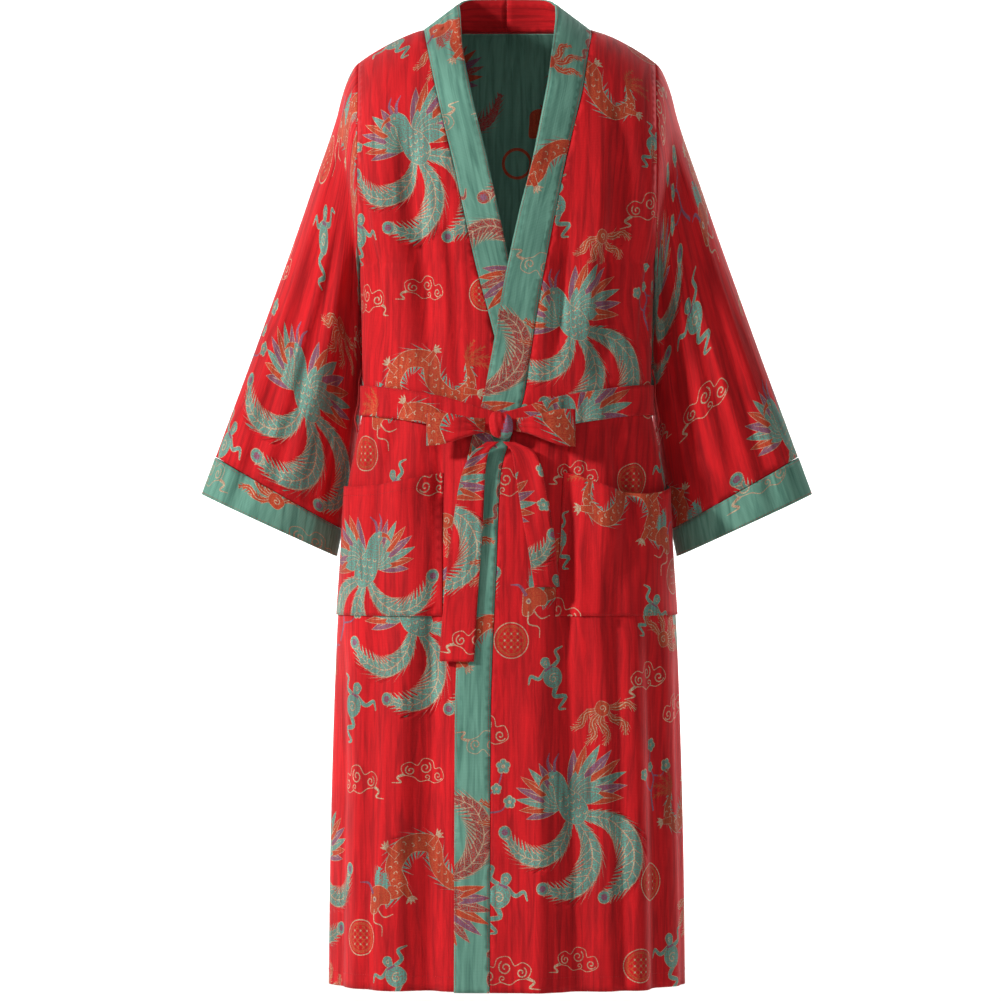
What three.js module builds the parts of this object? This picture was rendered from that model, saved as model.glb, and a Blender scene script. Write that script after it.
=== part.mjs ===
// A long yukata-style wrap robe, worn shape with no wearer: hollow body, two dropped
// sleeves with turned-up cuffs, one long neckband, two patch pockets and its tie belt.
// Millimetres, +Z up, front towards -Y. The origin is midway between the two points
// where the neckband crosses the shoulder seams. Left and right are the wearer's.
import * as THREE from "three";

// Driving sizes
const HEM_Z = -1190; // neck point of the shoulder down to the hem
const SHOULDER_HALF = 185; // centre to armhole seam
const NECK_HALF = 104; // centre to the neck point
const SHOULDER_DROP = 41; // neck point down to the armhole seam
const SHOULDER_CURVE = 1.3; // over 1, so the shoulder gets steeper outwards
const UNDERARM_Z = -296;
const RIDGE_RISE = 28; // how far the shoulder roof would rise inside the neck hole
const NECKLINE_RISE = 3; // centre of the back neckline above the neck points
const ROOF_FRONT = 150; // height over which the front rounds into the shoulder
const ROOF_BACK = 110;
const CLOTH = 2; // wall of one panel
const DOUBLED = 2.6; // wall of the neckband and the belt, which are doubled
const SEAM_GAP = 0.3; // between two pieces at a seam
const BELT_HEIGHT = 37;
const BELT_SIDE_Z = -463; // middle of the belt at the sides
const BELT_SAG = 29; // how much lower the knot pulls it in front

// Ring sections of the worn body. half is half the width, front and back are the
// depths from the side seams, square is the exponent of the rounded outline.
const BODY = [
  { z: 60, half: 205, front: 108, back: 108, square: 3.0 },
  { z: -60, half: 205, front: 112, back: 108, square: 3.0 },
  { z: -150, half: 204, front: 120, back: 108, square: 3.0 },
  { z: -230, half: 202, front: 120, back: 105, square: 2.9 },
  { z: -265, half: 196, front: 118, back: 102, square: 2.8 },
  { z: -285, half: 189.5, front: 115, back: 99, square: 2.7 },
  { z: UNDERARM_Z, half: SHOULDER_HALF, front: 113, back: 98, square: 2.7 },
  { z: -330, half: 183, front: 109, back: 94, square: 2.6 },
  { z: -400, half: 181, front: 101, back: 86, square: 2.5 },
  { z: -465, half: 180, front: 96, back: 81, square: 2.5 },
  { z: -524, half: 190, front: 104, back: 90, square: 2.5 },
  { z: -574, half: 199, front: 111, back: 101, square: 2.5 },
  { z: -674, half: 207, front: 118, back: 113, square: 2.5 },
  { z: -749, half: 212, front: 119, back: 116, square: 2.5 },
  { z: -899, half: 217.5, front: 121, back: 117, square: 2.5 },
  { z: -1049, half: 221, front: 124, back: 120, square: 2.5 },
  { z: HEM_Z, half: 222.5, front: 127, back: 124, square: 2.5 },
];

// Soft folds of the body. at is the station round the body, 0 at the left side seam,
// 0.25 front centre, 0.5 right side seam, 0.75 back centre. drift is how far the fold
// wanders by its lower end, wide is its half width as a station, deep is outwards.
const FOLDS = [
  { at: 0.108, drift: 0.01, wide: 0.024, deep: -9, top: -110, bottom: -430 },
  { at: 0.068, drift: 0.0, wide: 0.022, deep: 4, top: -130, bottom: -430 },
  { at: 0.175, drift: 0.01, wide: 0.02, deep: -6, top: -230, bottom: -440 },
  { at: 0.36, drift: -0.01, wide: 0.024, deep: -8, top: -120, bottom: -435 },
  { at: 0.325, drift: -0.008, wide: 0.02, deep: 5, top: -170, bottom: -435 },
  { at: 0.41, drift: 0.0, wide: 0.022, deep: 4, top: -120, bottom: -430 },
  { at: 0.095, drift: 0.012, wide: 0.022, deep: -8, top: -490, bottom: -640 },
  { at: 0.13, drift: 0.01, wide: 0.02, deep: 6, top: -495, bottom: -700 },
  { at: 0.165, drift: 0.02, wide: 0.02, deep: -8, top: -500, bottom: -760 },
  { at: 0.045, drift: -0.006, wide: 0.02, deep: 6, top: -490, bottom: -620 },
  { at: 0.335, drift: -0.01, wide: 0.02, deep: -8, top: -500, bottom: -660 },
  { at: 0.375, drift: 0.0, wide: 0.022, deep: 6, top: -495, bottom: -650 },
  { at: 0.415, drift: 0.01, wide: 0.022, deep: -7, top: -490, bottom: -640 },
  { at: 0.06, drift: 0.01, wide: 0.034, deep: -7, top: -800, bottom: -1320 },
  { at: 0.115, drift: -0.01, wide: 0.034, deep: 8, top: -720, bottom: -1340 },
  { at: 0.18, drift: -0.012, wide: 0.026, deep: -8, top: -640, bottom: -1340 },
  { at: 0.225, drift: -0.01, wide: 0.026, deep: 4, top: -760, bottom: -1340 },
  { at: 0.335, drift: 0.0, wide: 0.03, deep: -8, top: -700, bottom: -1360 },
  { at: 0.385, drift: 0.008, wide: 0.034, deep: 7, top: -760, bottom: -1340 },
  { at: 0.445, drift: 0.0, wide: 0.03, deep: -5, top: -820, bottom: -1340 },
  { at: 0.57, drift: 0.01, wide: 0.026, deep: 6, top: -180, bottom: -440 },
  { at: 0.63, drift: 0.012, wide: 0.026, deep: -8, top: -130, bottom: -440 },
  { at: 0.69, drift: 0.006, wide: 0.024, deep: 6, top: -220, bottom: -440 },
  { at: 0.745, drift: 0.0, wide: 0.026, deep: -6, top: -160, bottom: -440 },
  { at: 0.81, drift: -0.006, wide: 0.024, deep: 6, top: -210, bottom: -440 },
  { at: 0.87, drift: -0.012, wide: 0.026, deep: -8, top: -140, bottom: -440 },
  { at: 0.93, drift: -0.01, wide: 0.026, deep: 6, top: -180, bottom: -440 },
  { at: 0.56, drift: -0.008, wide: 0.03, deep: -8, top: -490, bottom: -1340 },
  { at: 0.62, drift: -0.01, wide: 0.028, deep: 8, top: -495, bottom: -1340 },
  { at: 0.68, drift: -0.006, wide: 0.026, deep: -9, top: -490, bottom: -1340 },
  { at: 0.735, drift: 0.0, wide: 0.03, deep: 8, top: -495, bottom: -1340 },
  { at: 0.79, drift: 0.006, wide: 0.026, deep: -9, top: -490, bottom: -1340 },
  { at: 0.85, drift: 0.01, wide: 0.03, deep: 8, top: -495, bottom: -1340 },
  { at: 0.915, drift: 0.01, wide: 0.03, deep: -8, top: -490, bottom: -1340 },
];
const FOLD_FADE = 110; // length over which a fold fades in and out
const SEAM_CALM = 25; // folds die out this far from the armhole

// Front edges, from the neck point to the hem. seam is where the panel ends and the
// neckband starts, reach and rise go from there to the band's free edge, and forward
// is how far that edge comes to the front where the band stands up round the neck.
const LEFT_EDGE = [
  { z: 0, seam: NECK_HALF, reach: 43, rise: 33, forward: -2 },
  { z: -8, seam: 105.3, reach: 44, rise: 29, forward: 2 },
  { z: -22, seam: 103, reach: 43, rise: 24, forward: 5 },
  { z: -41, seam: 99.7, reach: 43, rise: 18, forward: 8 },
  { z: -86, seam: 92.4, reach: 42.5, rise: 12, forward: 10 },
  { z: -119, seam: 84.4, reach: 41, rise: 10, forward: 10 },
  { z: -178, seam: 70.5, reach: 39, rise: 8, forward: 9 },
  { z: -237, seam: 58.7, reach: 42.5, rise: 8, forward: 7 },
  { z: -330, seam: 41.1, reach: 45, rise: 8, forward: 4 },
  { z: -410, seam: 28.4, reach: 46.5, rise: 6, forward: 2 },
  { z: -459, seam: 21, reach: 49, rise: 4, forward: 0 },
  { z: -500, seam: 8, reach: 47, rise: 2, forward: 0 },
  { z: -558, seam: -8, reach: 44, rise: 0, forward: 0 },
  { z: -660, seam: -12.5, reach: 44, rise: 0, forward: 0 },
  { z: -866, seam: -20, reach: 44, rise: 0, forward: 0 },
  { z: HEM_Z, seam: -21, reach: 44, rise: 0, forward: 0 },
];
const RIGHT_EDGE = [
  { z: 0, seam: NECK_HALF, reach: 43, rise: 33, forward: -2 },
  { z: -8, seam: 102.5, reach: 43.5, rise: 29, forward: 2 },
  { z: -22, seam: 100, reach: 42.5, rise: 22, forward: 5 },
  { z: -50, seam: 94.5, reach: 40.5, rise: 14, forward: 8 },
  { z: -112, seam: 81, reach: 40.5, rise: 9, forward: 10 },
  { z: -180, seam: 64.8, reach: 41, rise: 8, forward: 8 },
  { z: -239, seam: 52.2, reach: 41.3, rise: 8, forward: 4 },
  { z: -298, seam: 39, reach: 41.5, rise: 8, forward: 0 },
  { z: -355, seam: 23.7, reach: 42, rise: 8, forward: 0 },
  { z: -410, seam: 10, reach: 44, rise: 6, forward: 0 },
  { z: -459, seam: -1, reach: 45, rise: 4, forward: 0 },
  { z: -558, seam: -9, reach: 44, rise: 1, forward: 0 },
  { z: -706, seam: -16, reach: 44, rise: 0, forward: 0 },
  { z: HEM_Z, seam: -21, reach: 44, rise: 0, forward: 0 },
];

// How far the left front stands off the right one that it laps over.
const LAP = [
  { z: 60, over: 0, under: 0 },
  { z: -165, over: 0, under: 0 },
  { z: -262, over: 3, under: -1.2 },
  { z: -462, over: 3, under: -1.2 },
  { z: -700, over: 6, under: -1.2 },
  { z: HEM_Z, over: 9, under: -1.5 },
];
const LAP_FROM = 150; // the stand-off starts this far to the side of the centre
const LAP_FULL = 74;

// Back stand of the neckband, by the seam's place across the neckline.
const STAND = [
  { x: 0, reach: 0, rise: 41, lean: -18 },
  { x: 50, reach: 8, rise: 40.5, lean: -17 },
  { x: 80, reach: 24, rise: 38, lean: -12 },
  { x: 98, reach: 38, rise: 34.5, lean: -3 },
  { x: NECK_HALF, reach: 43, rise: 33, lean: 2 },
];

// Left sleeve sections by their share of the length, from the armhole to the cuff's
// edge. outer and inner are the two ends of the section in the front view, back is how
// far each end lies behind the side seam, depth is half the thickness, and crease goes
// from 0, a round outer edge, to 1, a pressed one.
const SLEEVE = [
  { at: 0, outerX: 185.3, outerZ: -41, innerX: 185.3, innerZ: -296, back: 0, depth: 72, crease: 0 },
  { at: 0.02, outerX: 192, outerZ: -48, innerX: 185.8, innerZ: -305, back: 5, depth: 66, crease: 0 },
  { at: 0.07, outerX: 204, outerZ: -75, innerX: 186.5, innerZ: -325, back: 14, depth: 61, crease: 0.05 },
  { at: 0.14, outerX: 214, outerZ: -112, innerX: 185, innerZ: -352, back: 24, depth: 60, crease: 0.1 },
  { at: 0.28, outerX: 240, outerZ: -187, innerX: 183.5, innerZ: -392, back: 36, depth: 62, crease: 0.2 },
  { at: 0.42, outerX: 266, outerZ: -262, innerX: 183, innerZ: -433, back: 43, depth: 62, crease: 0.35 },
  { at: 0.56, outerX: 293, outerZ: -337, innerX: 185, innerZ: -478, back: 46, depth: 60, crease: 0.5 },
  { at: 0.7, outerX: 320, outerZ: -412, innerX: 190, innerZ: -530, back: 46, depth: 57, crease: 0.65 },
  { at: 0.85, outerX: 350, outerZ: -493, innerX: 201, innerZ: -594, back: 42, depth: 52, crease: 0.8 },
  { at: 1, outerX: 382, outerZ: -580, innerX: 214, innerZ: -658, back: 36, depth: 47, crease: 0.9 },
];
const SLEEVE_OUTER_BACK = 0.35; // share of back that the outer end takes
const CUFF_AT = 0.92; // where the cuff is sewn on, as a share of the length

// Soft folds of a sleeve. across goes from -1 at the inner edge to 1 at the outer one.
const SLEEVE_FOLDS = [
  { face: 1, across: -0.62, wide: 0.3, deep: -11, from: 0.1, to: 0.75 },
  { face: 1, across: -0.05, wide: 0.24, deep: 6, from: 0.2, to: 0.98 },
  { face: 1, across: 0.42, wide: 0.22, deep: -4, from: 0.3, to: 1.1 },
  { face: -1, across: -0.55, wide: 0.3, deep: -9, from: 0.1, to: 0.8 },
  { face: -1, across: 0.0, wide: 0.26, deep: 6, from: 0.2, to: 1.1 },
  { face: -1, across: 0.45, wide: 0.22, deep: -5, from: 0.25, to: 1.1 },
];
const SLEEVE_FOLD_FADE = 0.2;

// Patch pockets. top and bottom are x of the edge near the neckband, inner and outer
// are the heights of the mouth's two ends, sag lowers the mouth between them, and gape
// holds it off the panel.
const LEFT_POCKET = { top: 70, bottom: 59.5, inner: -553, outer: -569, sag: 18, gape: 12 };
const RIGHT_POCKET = { top: 80.5, bottom: 80.5, inner: -554, outer: -571, sag: 6, gape: 12 };
const POCKET_OUTER = 0.04; // share of the panel between side seam and pocket
const POCKET_TOP = -556;
const POCKET_BOTTOM = -730;

// Belt, bow and the thread loops that carry the belt at the side seams.
const BELT_CLEAR = 0.9; // between the belt and the cloth under it
const CINCH = 13; // how much of the belt's height the knot takes away
const KNOT = { x: -7.5, z: -496, width: 37, height: 39, depth: 22 };
const LEFT_TAIL = [
  { z: -515.9, low: -5.5, high: 9, off: 13 },
  { z: -527, low: 5, high: 31, off: 11 },
  { z: -552, low: 9.5, high: 43, off: 8 },
  { z: -602, low: 17.5, high: 52.5, off: 6 },
  { z: -637, low: 23.5, high: 58, off: 6.5 },
  { z: -694, low: 33, high: 65, off: 7 },
];
const RIGHT_TAIL = [
  { z: -515.9, low: -24, high: -9.5, off: 13 },
  { z: -528, low: -41, high: -22, off: 11 },
  { z: -558, low: -55, high: -26.5, off: 8 },
  { z: -625, low: -66.5, high: -29.5, off: 6 },
  { z: -702, low: -75.5, high: -35, off: 5 },
  { z: -785, low: -82.5, high: -40, off: 5 },
];
const LEFT_LOOP = { side: 1, tip: 84, tipZ: -499, tipHeight: 46, rootZ: -495, rootHeight: 17, plump: 7 };
const RIGHT_LOOP = { side: -1, tip: 99, tipZ: -501, tipHeight: 40, rootZ: -496, rootHeight: 18, plump: 7 };
const LOOP_CLEAR = 2.5; // between the loops of the bow and the belt
const CARRIER = { top: -424, bottom: -503, thick: 2.4, ends: 18, slack: 3 };

const RED = 0xc0161c;
const GREEN = 0x5f9f86;

const clamp = (v, low, high) => Math.min(high, Math.max(low, v));
const mix = (a, b, t) => a + (b - a) * t;
const smooth = (t) => {
  const s = clamp(t, 0, 1);
  return s * s * (3 - 2 * s);
};

// One column of a table as a smooth function that never overshoots its rows.
function column(rows, by, key) {
  const list = [...rows].sort((a, b) => a[by] - b[by]);
  const x = list.map((row) => row[by]);
  const y = list.map((row) => row[key]);
  const steps = x.slice(1).map((v, i) => (y[i + 1] - y[i]) / (v - x[i]));
  const slope = x.map((_, i) => {
    if (i === 0) return steps[0];
    if (i === x.length - 1) return steps[i - 1];
    if (steps[i - 1] * steps[i] <= 0) return 0;
    return (2 * steps[i - 1] * steps[i]) / (steps[i - 1] + steps[i]);
  });
  return (at) => {
    if (at <= x[0]) return y[0];
    if (at >= x[x.length - 1]) return y[y.length - 1];
    let i = 0;
    while (x[i + 1] < at) i += 1;
    const span = x[i + 1] - x[i];
    const t = (at - x[i]) / span;
    const h1 = 2 * t ** 3 - 3 * t * t + 1;
    const h2 = t ** 3 - 2 * t * t + t;
    const h3 = -2 * t ** 3 + 3 * t * t;
    const h4 = t ** 3 - t * t;
    return h1 * y[i] + h2 * span * slope[i] + h3 * y[i + 1] + h4 * span * slope[i + 1];
  };
}

function columns(rows, by) {
  const keys = Object.keys(rows[0]).filter((key) => key !== by);
  return Object.fromEntries(keys.map((key) => [key, column(rows, by, key)]));
}

const body = columns(BODY, "z");
const lap = columns(LAP, "z");
const leftEdge = columns(LEFT_EDGE, "z");
const rightEdge = columns(RIGHT_EDGE, "z");
const stand = columns(STAND, "x");

// The ridge of the shoulders, and the back neckline, as heights over x.
function ridge(x) {
  const out = Math.abs(x);
  if (out < NECK_HALF) return RIDGE_RISE * (1 - (out / NECK_HALF) ** 2);
  const share = (out - NECK_HALF) / (SHOULDER_HALF - NECK_HALF);
  return -SHOULDER_DROP * share ** SHOULDER_CURVE;
}
const neckline = (x) => NECKLINE_RISE * (1 - (x / NECK_HALF) ** 2);

// A closed ring at one height, its points labelled by station round the body.
const RING_STEPS = 240;
const rings = new Map();
function ring(z) {
  if (rings.has(z)) return rings.get(z);
  const half = body.half(z);
  const power = 2 / body.square(z);
  const points = [];
  for (let i = 0; i <= RING_STEPS; i += 1) {
    const turn = (i / RING_STEPS) * 2 * Math.PI;
    const c = Math.cos(turn);
    const s = Math.sin(turn);
    const depth = s > 0 ? body.front(z) : body.back(z);
    points.push({
      x: half * Math.sign(c) * Math.abs(c) ** power,
      y: -depth * Math.sign(s) * Math.abs(s) ** power,
    });
  }
  let run = 0;
  points.forEach((p, i) => {
    if (i > 0) run += Math.hypot(p.x - points[i - 1].x, p.y - points[i - 1].y);
    p.run = run;
  });
  const front = points[RING_STEPS / 2].run;
  const back = run - front;
  points.forEach((p) => {
    p.station = p.run <= front ? (0.5 * p.run) / front : 0.5 + (0.5 * (p.run - front)) / back;
  });
  rings.set(z, points);
  return points;
}

// The point of the bare ring at a station, with its level outward direction.
function ringPoint(station, z) {
  const points = ring(z);
  const s = clamp(station, 0, 1);
  let low = 0;
  let high = RING_STEPS;
  while (high - low > 1) {
    const middle = (low + high) >> 1;
    if (points[middle].station <= s) low = middle;
    else high = middle;
  }
  const a = points[low];
  const b = points[high];
  const t = (s - a.station) / (b.station - a.station || 1);
  const before = points[(low - 2 + RING_STEPS) % RING_STEPS];
  const after = points[(high + 2) % RING_STEPS];
  const along = Math.hypot(after.x - before.x, after.y - before.y);
  return {
    x: mix(a.x, b.x, t),
    y: mix(a.y, b.y, t),
    outX: -(after.y - before.y) / along,
    outY: (after.x - before.x) / along,
  };
}

// The station whose ring point has this x, on the front or on the back.
function stationAt(x, z, onFront) {
  let low = onFront ? 0 : 0.5;
  let high = onFront ? 0.5 : 1;
  for (let i = 0; i < 40; i += 1) {
    const middle = (low + high) / 2;
    const here = ringPoint(middle, z).x;
    if (onFront === here > x) low = middle;
    else high = middle;
  }
  return (low + high) / 2;
}

function foldDepth(station, z) {
  let depth = 0;
  for (const fold of FOLDS) {
    const share = clamp((fold.top - z) / (fold.top - fold.bottom), 0, 1);
    const off = (station - fold.at - fold.drift * share) / fold.wide;
    if (Math.abs(off) >= 1.6) continue;
    const fade = smooth((fold.top - z) / FOLD_FADE) * smooth((z - fold.bottom) / FOLD_FADE);
    depth += fold.deep * fade * Math.exp(-2.2 * off * off) * (1 - (off / 1.6) ** 4);
  }
  return depth;
}

// The worn surface: ring, shoulder roof, folds, then moved out by off.
function surface(station, z, off = 0) {
  const p = ringPoint(station, z);
  const below = ridge(p.x) - z;
  const roof = p.y < 0 ? ROOF_FRONT : ROOF_BACK;
  const open = Math.sqrt(1 - (1 - clamp(below / roof, 0, 1)) ** 2);
  const halfGap = SEAM_GAP * 0.6;
  const y = Math.sign(p.y || 1) * (halfGap + Math.max(0, Math.abs(p.y) - halfGap) * open);
  const inside = smooth((SHOULDER_HALF - Math.abs(p.x)) / SEAM_CALM);
  const out = foldDepth(station, z) * Math.max(inside, smooth((UNDERARM_Z - z) / 90)) + off;
  return new THREE.Vector3(p.x + p.outX * out, y + p.outY * out, z);
}

// A closed cloth wall on a grid of outer points. The grid runs down its rows, and its
// columns turn so that the cross product of the two points out of the body.
// The inner points are given by inside, or lie thick further in along the normals.
function wall({ rows, cols, at, inside, thick, round = false, flat = () => null, outward = 1 }) {
  const outer = [];
  for (let i = 0; i <= rows; i += 1) {
    outer.push([]);
    for (let j = 0; j < (round ? cols : cols + 1); j += 1) outer[i].push(at(i, j));
  }
  const width = outer[0].length;
  const step = (j) => (round ? (j + width) % width : clamp(j, 0, width - 1));
  const inner = outer.map((line, i) =>
    line.map((p, j) => {
      if (inside) return inside(i, j);
      const along = outer[i][step(j + 1)].clone().sub(outer[i][step(j - 1)]);
      const down = outer[Math.min(i + 1, rows)][j].clone().sub(outer[Math.max(i - 1, 0)][j]);
      const normal = along.cross(down).multiplyScalar(outward);
      if (flat(i, j)) normal[flat(i, j)] = 0;
      return p.clone().addScaledVector(normal.normalize(), -thick);
    }),
  );
  const points = [...outer.flat(), ...inner.flat()];
  const back = outer.flat().length;
  const faces = [];
  const quad = (a, b, c, d) => faces.push(a, b, c, a, c, d);
  const last = round ? width : width - 1;
  for (let i = 0; i < rows; i += 1) {
    for (let j = 0; j < last; j += 1) {
      const a = i * width + j;
      const b = i * width + step(j + 1);
      const c = a + width;
      const d = b + width;
      quad(a, b, d, c);
      quad(back + a, back + c, back + d, back + b);
    }
    if (!round) {
      const a = i * width;
      const b = a + width - 1;
      quad(a, a + width, back + a + width, back + a);
      quad(b + width, b, back + b, back + b + width);
    }
  }
  for (let j = 0; j < last; j += 1) {
    const a = j;
    const b = step(j + 1);
    const c = rows * width + a;
    const d = rows * width + b;
    quad(b, a, back + a, back + b);
    quad(c, d, back + d, back + c);
  }
  return closed(points, faces);
}

// A closed geometry with its faces turned to point out.
function closed(points, faces) {
  let volume = 0;
  for (let i = 0; i < faces.length; i += 3) {
    const [a, b, c] = [points[faces[i]], points[faces[i + 1]], points[faces[i + 2]]];
    volume += a.dot(b.clone().cross(c));
  }
  if (volume < 0) faces.reverse();
  const geometry = new THREE.BufferGeometry().setFromPoints(points);
  geometry.setIndex(faces);
  geometry.computeVertexNormals();
  return geometry;
}

function piece(name, geometry, color) {
  const material = new THREE.MeshStandardMaterial({ color, roughness: 0.85, metalness: 0 });
  const mesh = new THREE.Mesh(geometry, material);
  mesh.name = name;
  return mesh;
}

// Heights of the panel rows: close together over the shoulder, at the belt and round
// the pockets. Near the top the rows slope with the shoulder.
const ROOF_TURNS = [0, 13, 26, 40, 55, 70];
const ARMHOLE_ROWS = [
  ...ROOF_TURNS.map((turn) => -ROOF_BACK * (1 - Math.cos((turn * Math.PI) / 180))),
  -108, -145, -180, -215, -245, -268, -285, UNDERARM_Z,
];
const FRONT_ROWS = [
  ...ARMHOLE_ROWS, -315, -345, -380, -415, -444, -463, -482, -502, -520, -538, POCKET_TOP,
  -575, -600, -635, -668, -700, POCKET_BOTTOM, -790, -860, -930, -1000, -1065, -1130, HEM_Z,
];
const BACK_ROWS = [
  ...ARMHOLE_ROWS, -320, -365, -410, -444, -463, -482, -502, -540, -590, -650, -720, -800,
  -880, -960, -1035, -1110, HEM_Z,
];
const SLOPE_END = -200;
const slope = (z) => 1 - smooth(z / SLOPE_END);

// Station of a panel's outer edge: the armhole above the underarm, the side seam below.
const EDGE_GAP = 0.0002; // half a seam gap, as a station
function sideStation(z, left, onFront) {
  const seam = left ? (onFront ? 0 : 1) : 0.5;
  const turn = onFront === left ? 1 : -1;
  if (z <= UNDERARM_Z) return seam + turn * EDGE_GAP;
  return stationAt(left ? SHOULDER_HALF : -SHOULDER_HALF, z, onFront);
}

// Outer offset of a front: the left one climbs over the right one near the centre.
function lapOffset(x, z, left) {
  const near = smooth((LAP_FROM - (left ? x : -x)) / (LAP_FROM - LAP_FULL));
  return near * (left ? lap.over(z) : lap.under(z));
}

const seamX = (z, left) => (left ? leftEdge.seam(z) : -rightEdge.seam(z));

// A front panel as a function of its share from side seam (0) to band seam (1).
function frontPoint(share, z, left, off = 0) {
  const side = sideStation(z, left, true);
  const station = mix(side, stationAt(seamX(z, left), z, true), share);
  const x = ringPoint(station, z).x;
  return surface(station, z, off + lapOffset(x, z, left));
}
function shareOf(x, z, left) {
  const side = sideStation(z, left, true);
  return (stationAt(x, z, true) - side) / (stationAt(seamX(z, left), z, true) - side);
}

// Columns of a front: one beside the side seam, then the pocket's, then the rest.
const POCKET_COLUMNS = 8;
const INNER_COLUMNS = 4;
const FRONT_COLUMNS = 1 + POCKET_COLUMNS + INNER_COLUMNS;
function pocketShares(left) {
  const pocket = left ? LEFT_POCKET : RIGHT_POCKET;
  const sign = left ? 1 : -1;
  return {
    top: shareOf(sign * pocket.top, POCKET_TOP, left),
    bottom: shareOf(sign * pocket.bottom, POCKET_BOTTOM, left),
  };
}
const sharesOf = { true: pocketShares(true), false: pocketShares(false) };
function frontShare(j, z, left) {
  const down = clamp((POCKET_TOP - z) / (POCKET_TOP - POCKET_BOTTOM), 0, 1);
  const inner = mix(sharesOf[left].top, sharesOf[left].bottom, down);
  if (j <= 1) return POCKET_OUTER * j;
  if (j <= 1 + POCKET_COLUMNS) return mix(POCKET_OUTER, inner, (j - 1) / POCKET_COLUMNS);
  return mix(inner, 1, (j - 1 - POCKET_COLUMNS) / INNER_COLUMNS);
}
function frontGrid(i, j, left) {
  const level = FRONT_ROWS[i];
  const share = frontShare(j, level, left);
  const z = level + ridge(mix(SHOULDER_HALF, NECK_HALF, share)) * slope(level);
  return frontPoint(share, z, left);
}
function front(name, left) {
  const column = (j) => (left ? j : FRONT_COLUMNS - j);
  return piece(
    name,
    wall({
      rows: FRONT_ROWS.length - 1,
      cols: FRONT_COLUMNS,
      at: (i, j) => frontGrid(i, column(j), left),
      thick: CLOTH,
      flat: (i) => (i === 0 ? "y" : null),
    }),
    RED,
  );
}

// The back panel, from the right side (share 0) to the left one (share 1).
const SHOULDER_COLUMNS = 4;
const NECK_COLUMNS = 14;
const BACK_COLUMNS = 2 * SHOULDER_COLUMNS + NECK_COLUMNS;
const backStation = (share, z) => mix(sideStation(z, false, false), sideStation(z, true, false), share);
const neckShare =
  (stationAt(-NECK_HALF, 0, false) - backStation(0, 0)) / (backStation(1, 0) - backStation(0, 0));
function backShare(j) {
  if (j <= SHOULDER_COLUMNS) return (neckShare * j) / SHOULDER_COLUMNS;
  if (j >= BACK_COLUMNS - SHOULDER_COLUMNS) return 1 - backShare(BACK_COLUMNS - j);
  return mix(neckShare, 1 - neckShare, (j - SHOULDER_COLUMNS) / NECK_COLUMNS);
}
function backTop(share) {
  const x = ringPoint(backStation(share, 0), 0).x;
  return Math.abs(x) < NECK_HALF - 0.5 ? neckline(x) : ridge(x);
}
function backPoint(share, level) {
  const z = level + backTop(share) * slope(level);
  return surface(backStation(share, z), z);
}
function backPanel() {
  const neck = (j) => j > SHOULDER_COLUMNS && j < BACK_COLUMNS - SHOULDER_COLUMNS;
  return piece(
    "back",
    wall({
      rows: BACK_ROWS.length - 1,
      cols: BACK_COLUMNS,
      at: (i, j) => backPoint(backShare(j), BACK_ROWS[i]),
      thick: CLOTH,
      flat: (i, j) => (i === 0 && !neck(j) ? "y" : null),
    }),
    RED,
  );
}

// A neckband half, from the hem up the front edge and round to the centre back. across
// goes from the seam (0) to the free edge (1).
const BAND_COLUMNS = 3;
const BAND_PROUD = 0.6; // the doubled band lies this far above the panel
const BAND_STARTS_FREE = -150; // above this height the band stands off the body
const BAND_ROWS = [...FRONT_ROWS].reverse();
const STAND_ROWS = NECK_COLUMNS / 2;
function bandFront(level, across, left) {
  const sign = left ? 1 : -1;
  const edge = left ? leftEdge : rightEdge;
  const seam = level < 0 ? frontPoint(1, level, left) : new THREE.Vector3(sign * NECK_HALF, 0, 0);
  const proud = BAND_PROUD * smooth(-level / 60);
  const x = seamX(level, left) - sign * edge.reach(level);
  const z = level + edge.rise(level);
  const free = surface(stationAt(x, z, true), z, lapOffset(x, z, left) + proud);
  const lies = smooth((-level - 60) / 120);
  free.y = mix(seam.y, free.y, lies) - edge.forward(level);
  const way = free.clone().sub(seam).normalize();
  const start = seam.clone().addScaledVector(way, SEAM_GAP * 1.2);
  const line = start.clone().lerp(free, across);
  line.y -= proud * (1 - across) + 1.5 * Math.sin(Math.PI * across) * (1 - lies * 0.6);
  const onX = mix(start.x, x, across);
  const onZ = mix(level, z, across);
  const on = surface(stationAt(onX, onZ, true), onZ, lapOffset(onX, onZ, left) + proud);
  on.y -= edge.forward(level) * across;
  on.x = onX;
  return line.lerp(on, smooth((BAND_STARTS_FREE - level) / 120));
}
function bandBack(step, across, left) {
  const sign = left ? 1 : -1;
  const column = left ? BACK_COLUMNS - SHOULDER_COLUMNS - step : SHOULDER_COLUMNS + step;
  const seam = backPoint(backShare(column), 0);
  const x = Math.abs(seam.x);
  seam.x = sign * Math.max(x, SEAM_GAP * 0.6);
  const free = new THREE.Vector3(
    sign * Math.max(x - stand.reach(x), SEAM_GAP * 0.6),
    seam.y + stand.lean(x),
    seam.z + stand.rise(x),
  );
  const way = free.clone().sub(seam).normalize();
  const point = seam.addScaledVector(way, SEAM_GAP * 1.4).lerp(free, across);
  point.y += 1.5 * Math.sin(Math.PI * across);
  return point;
}
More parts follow.
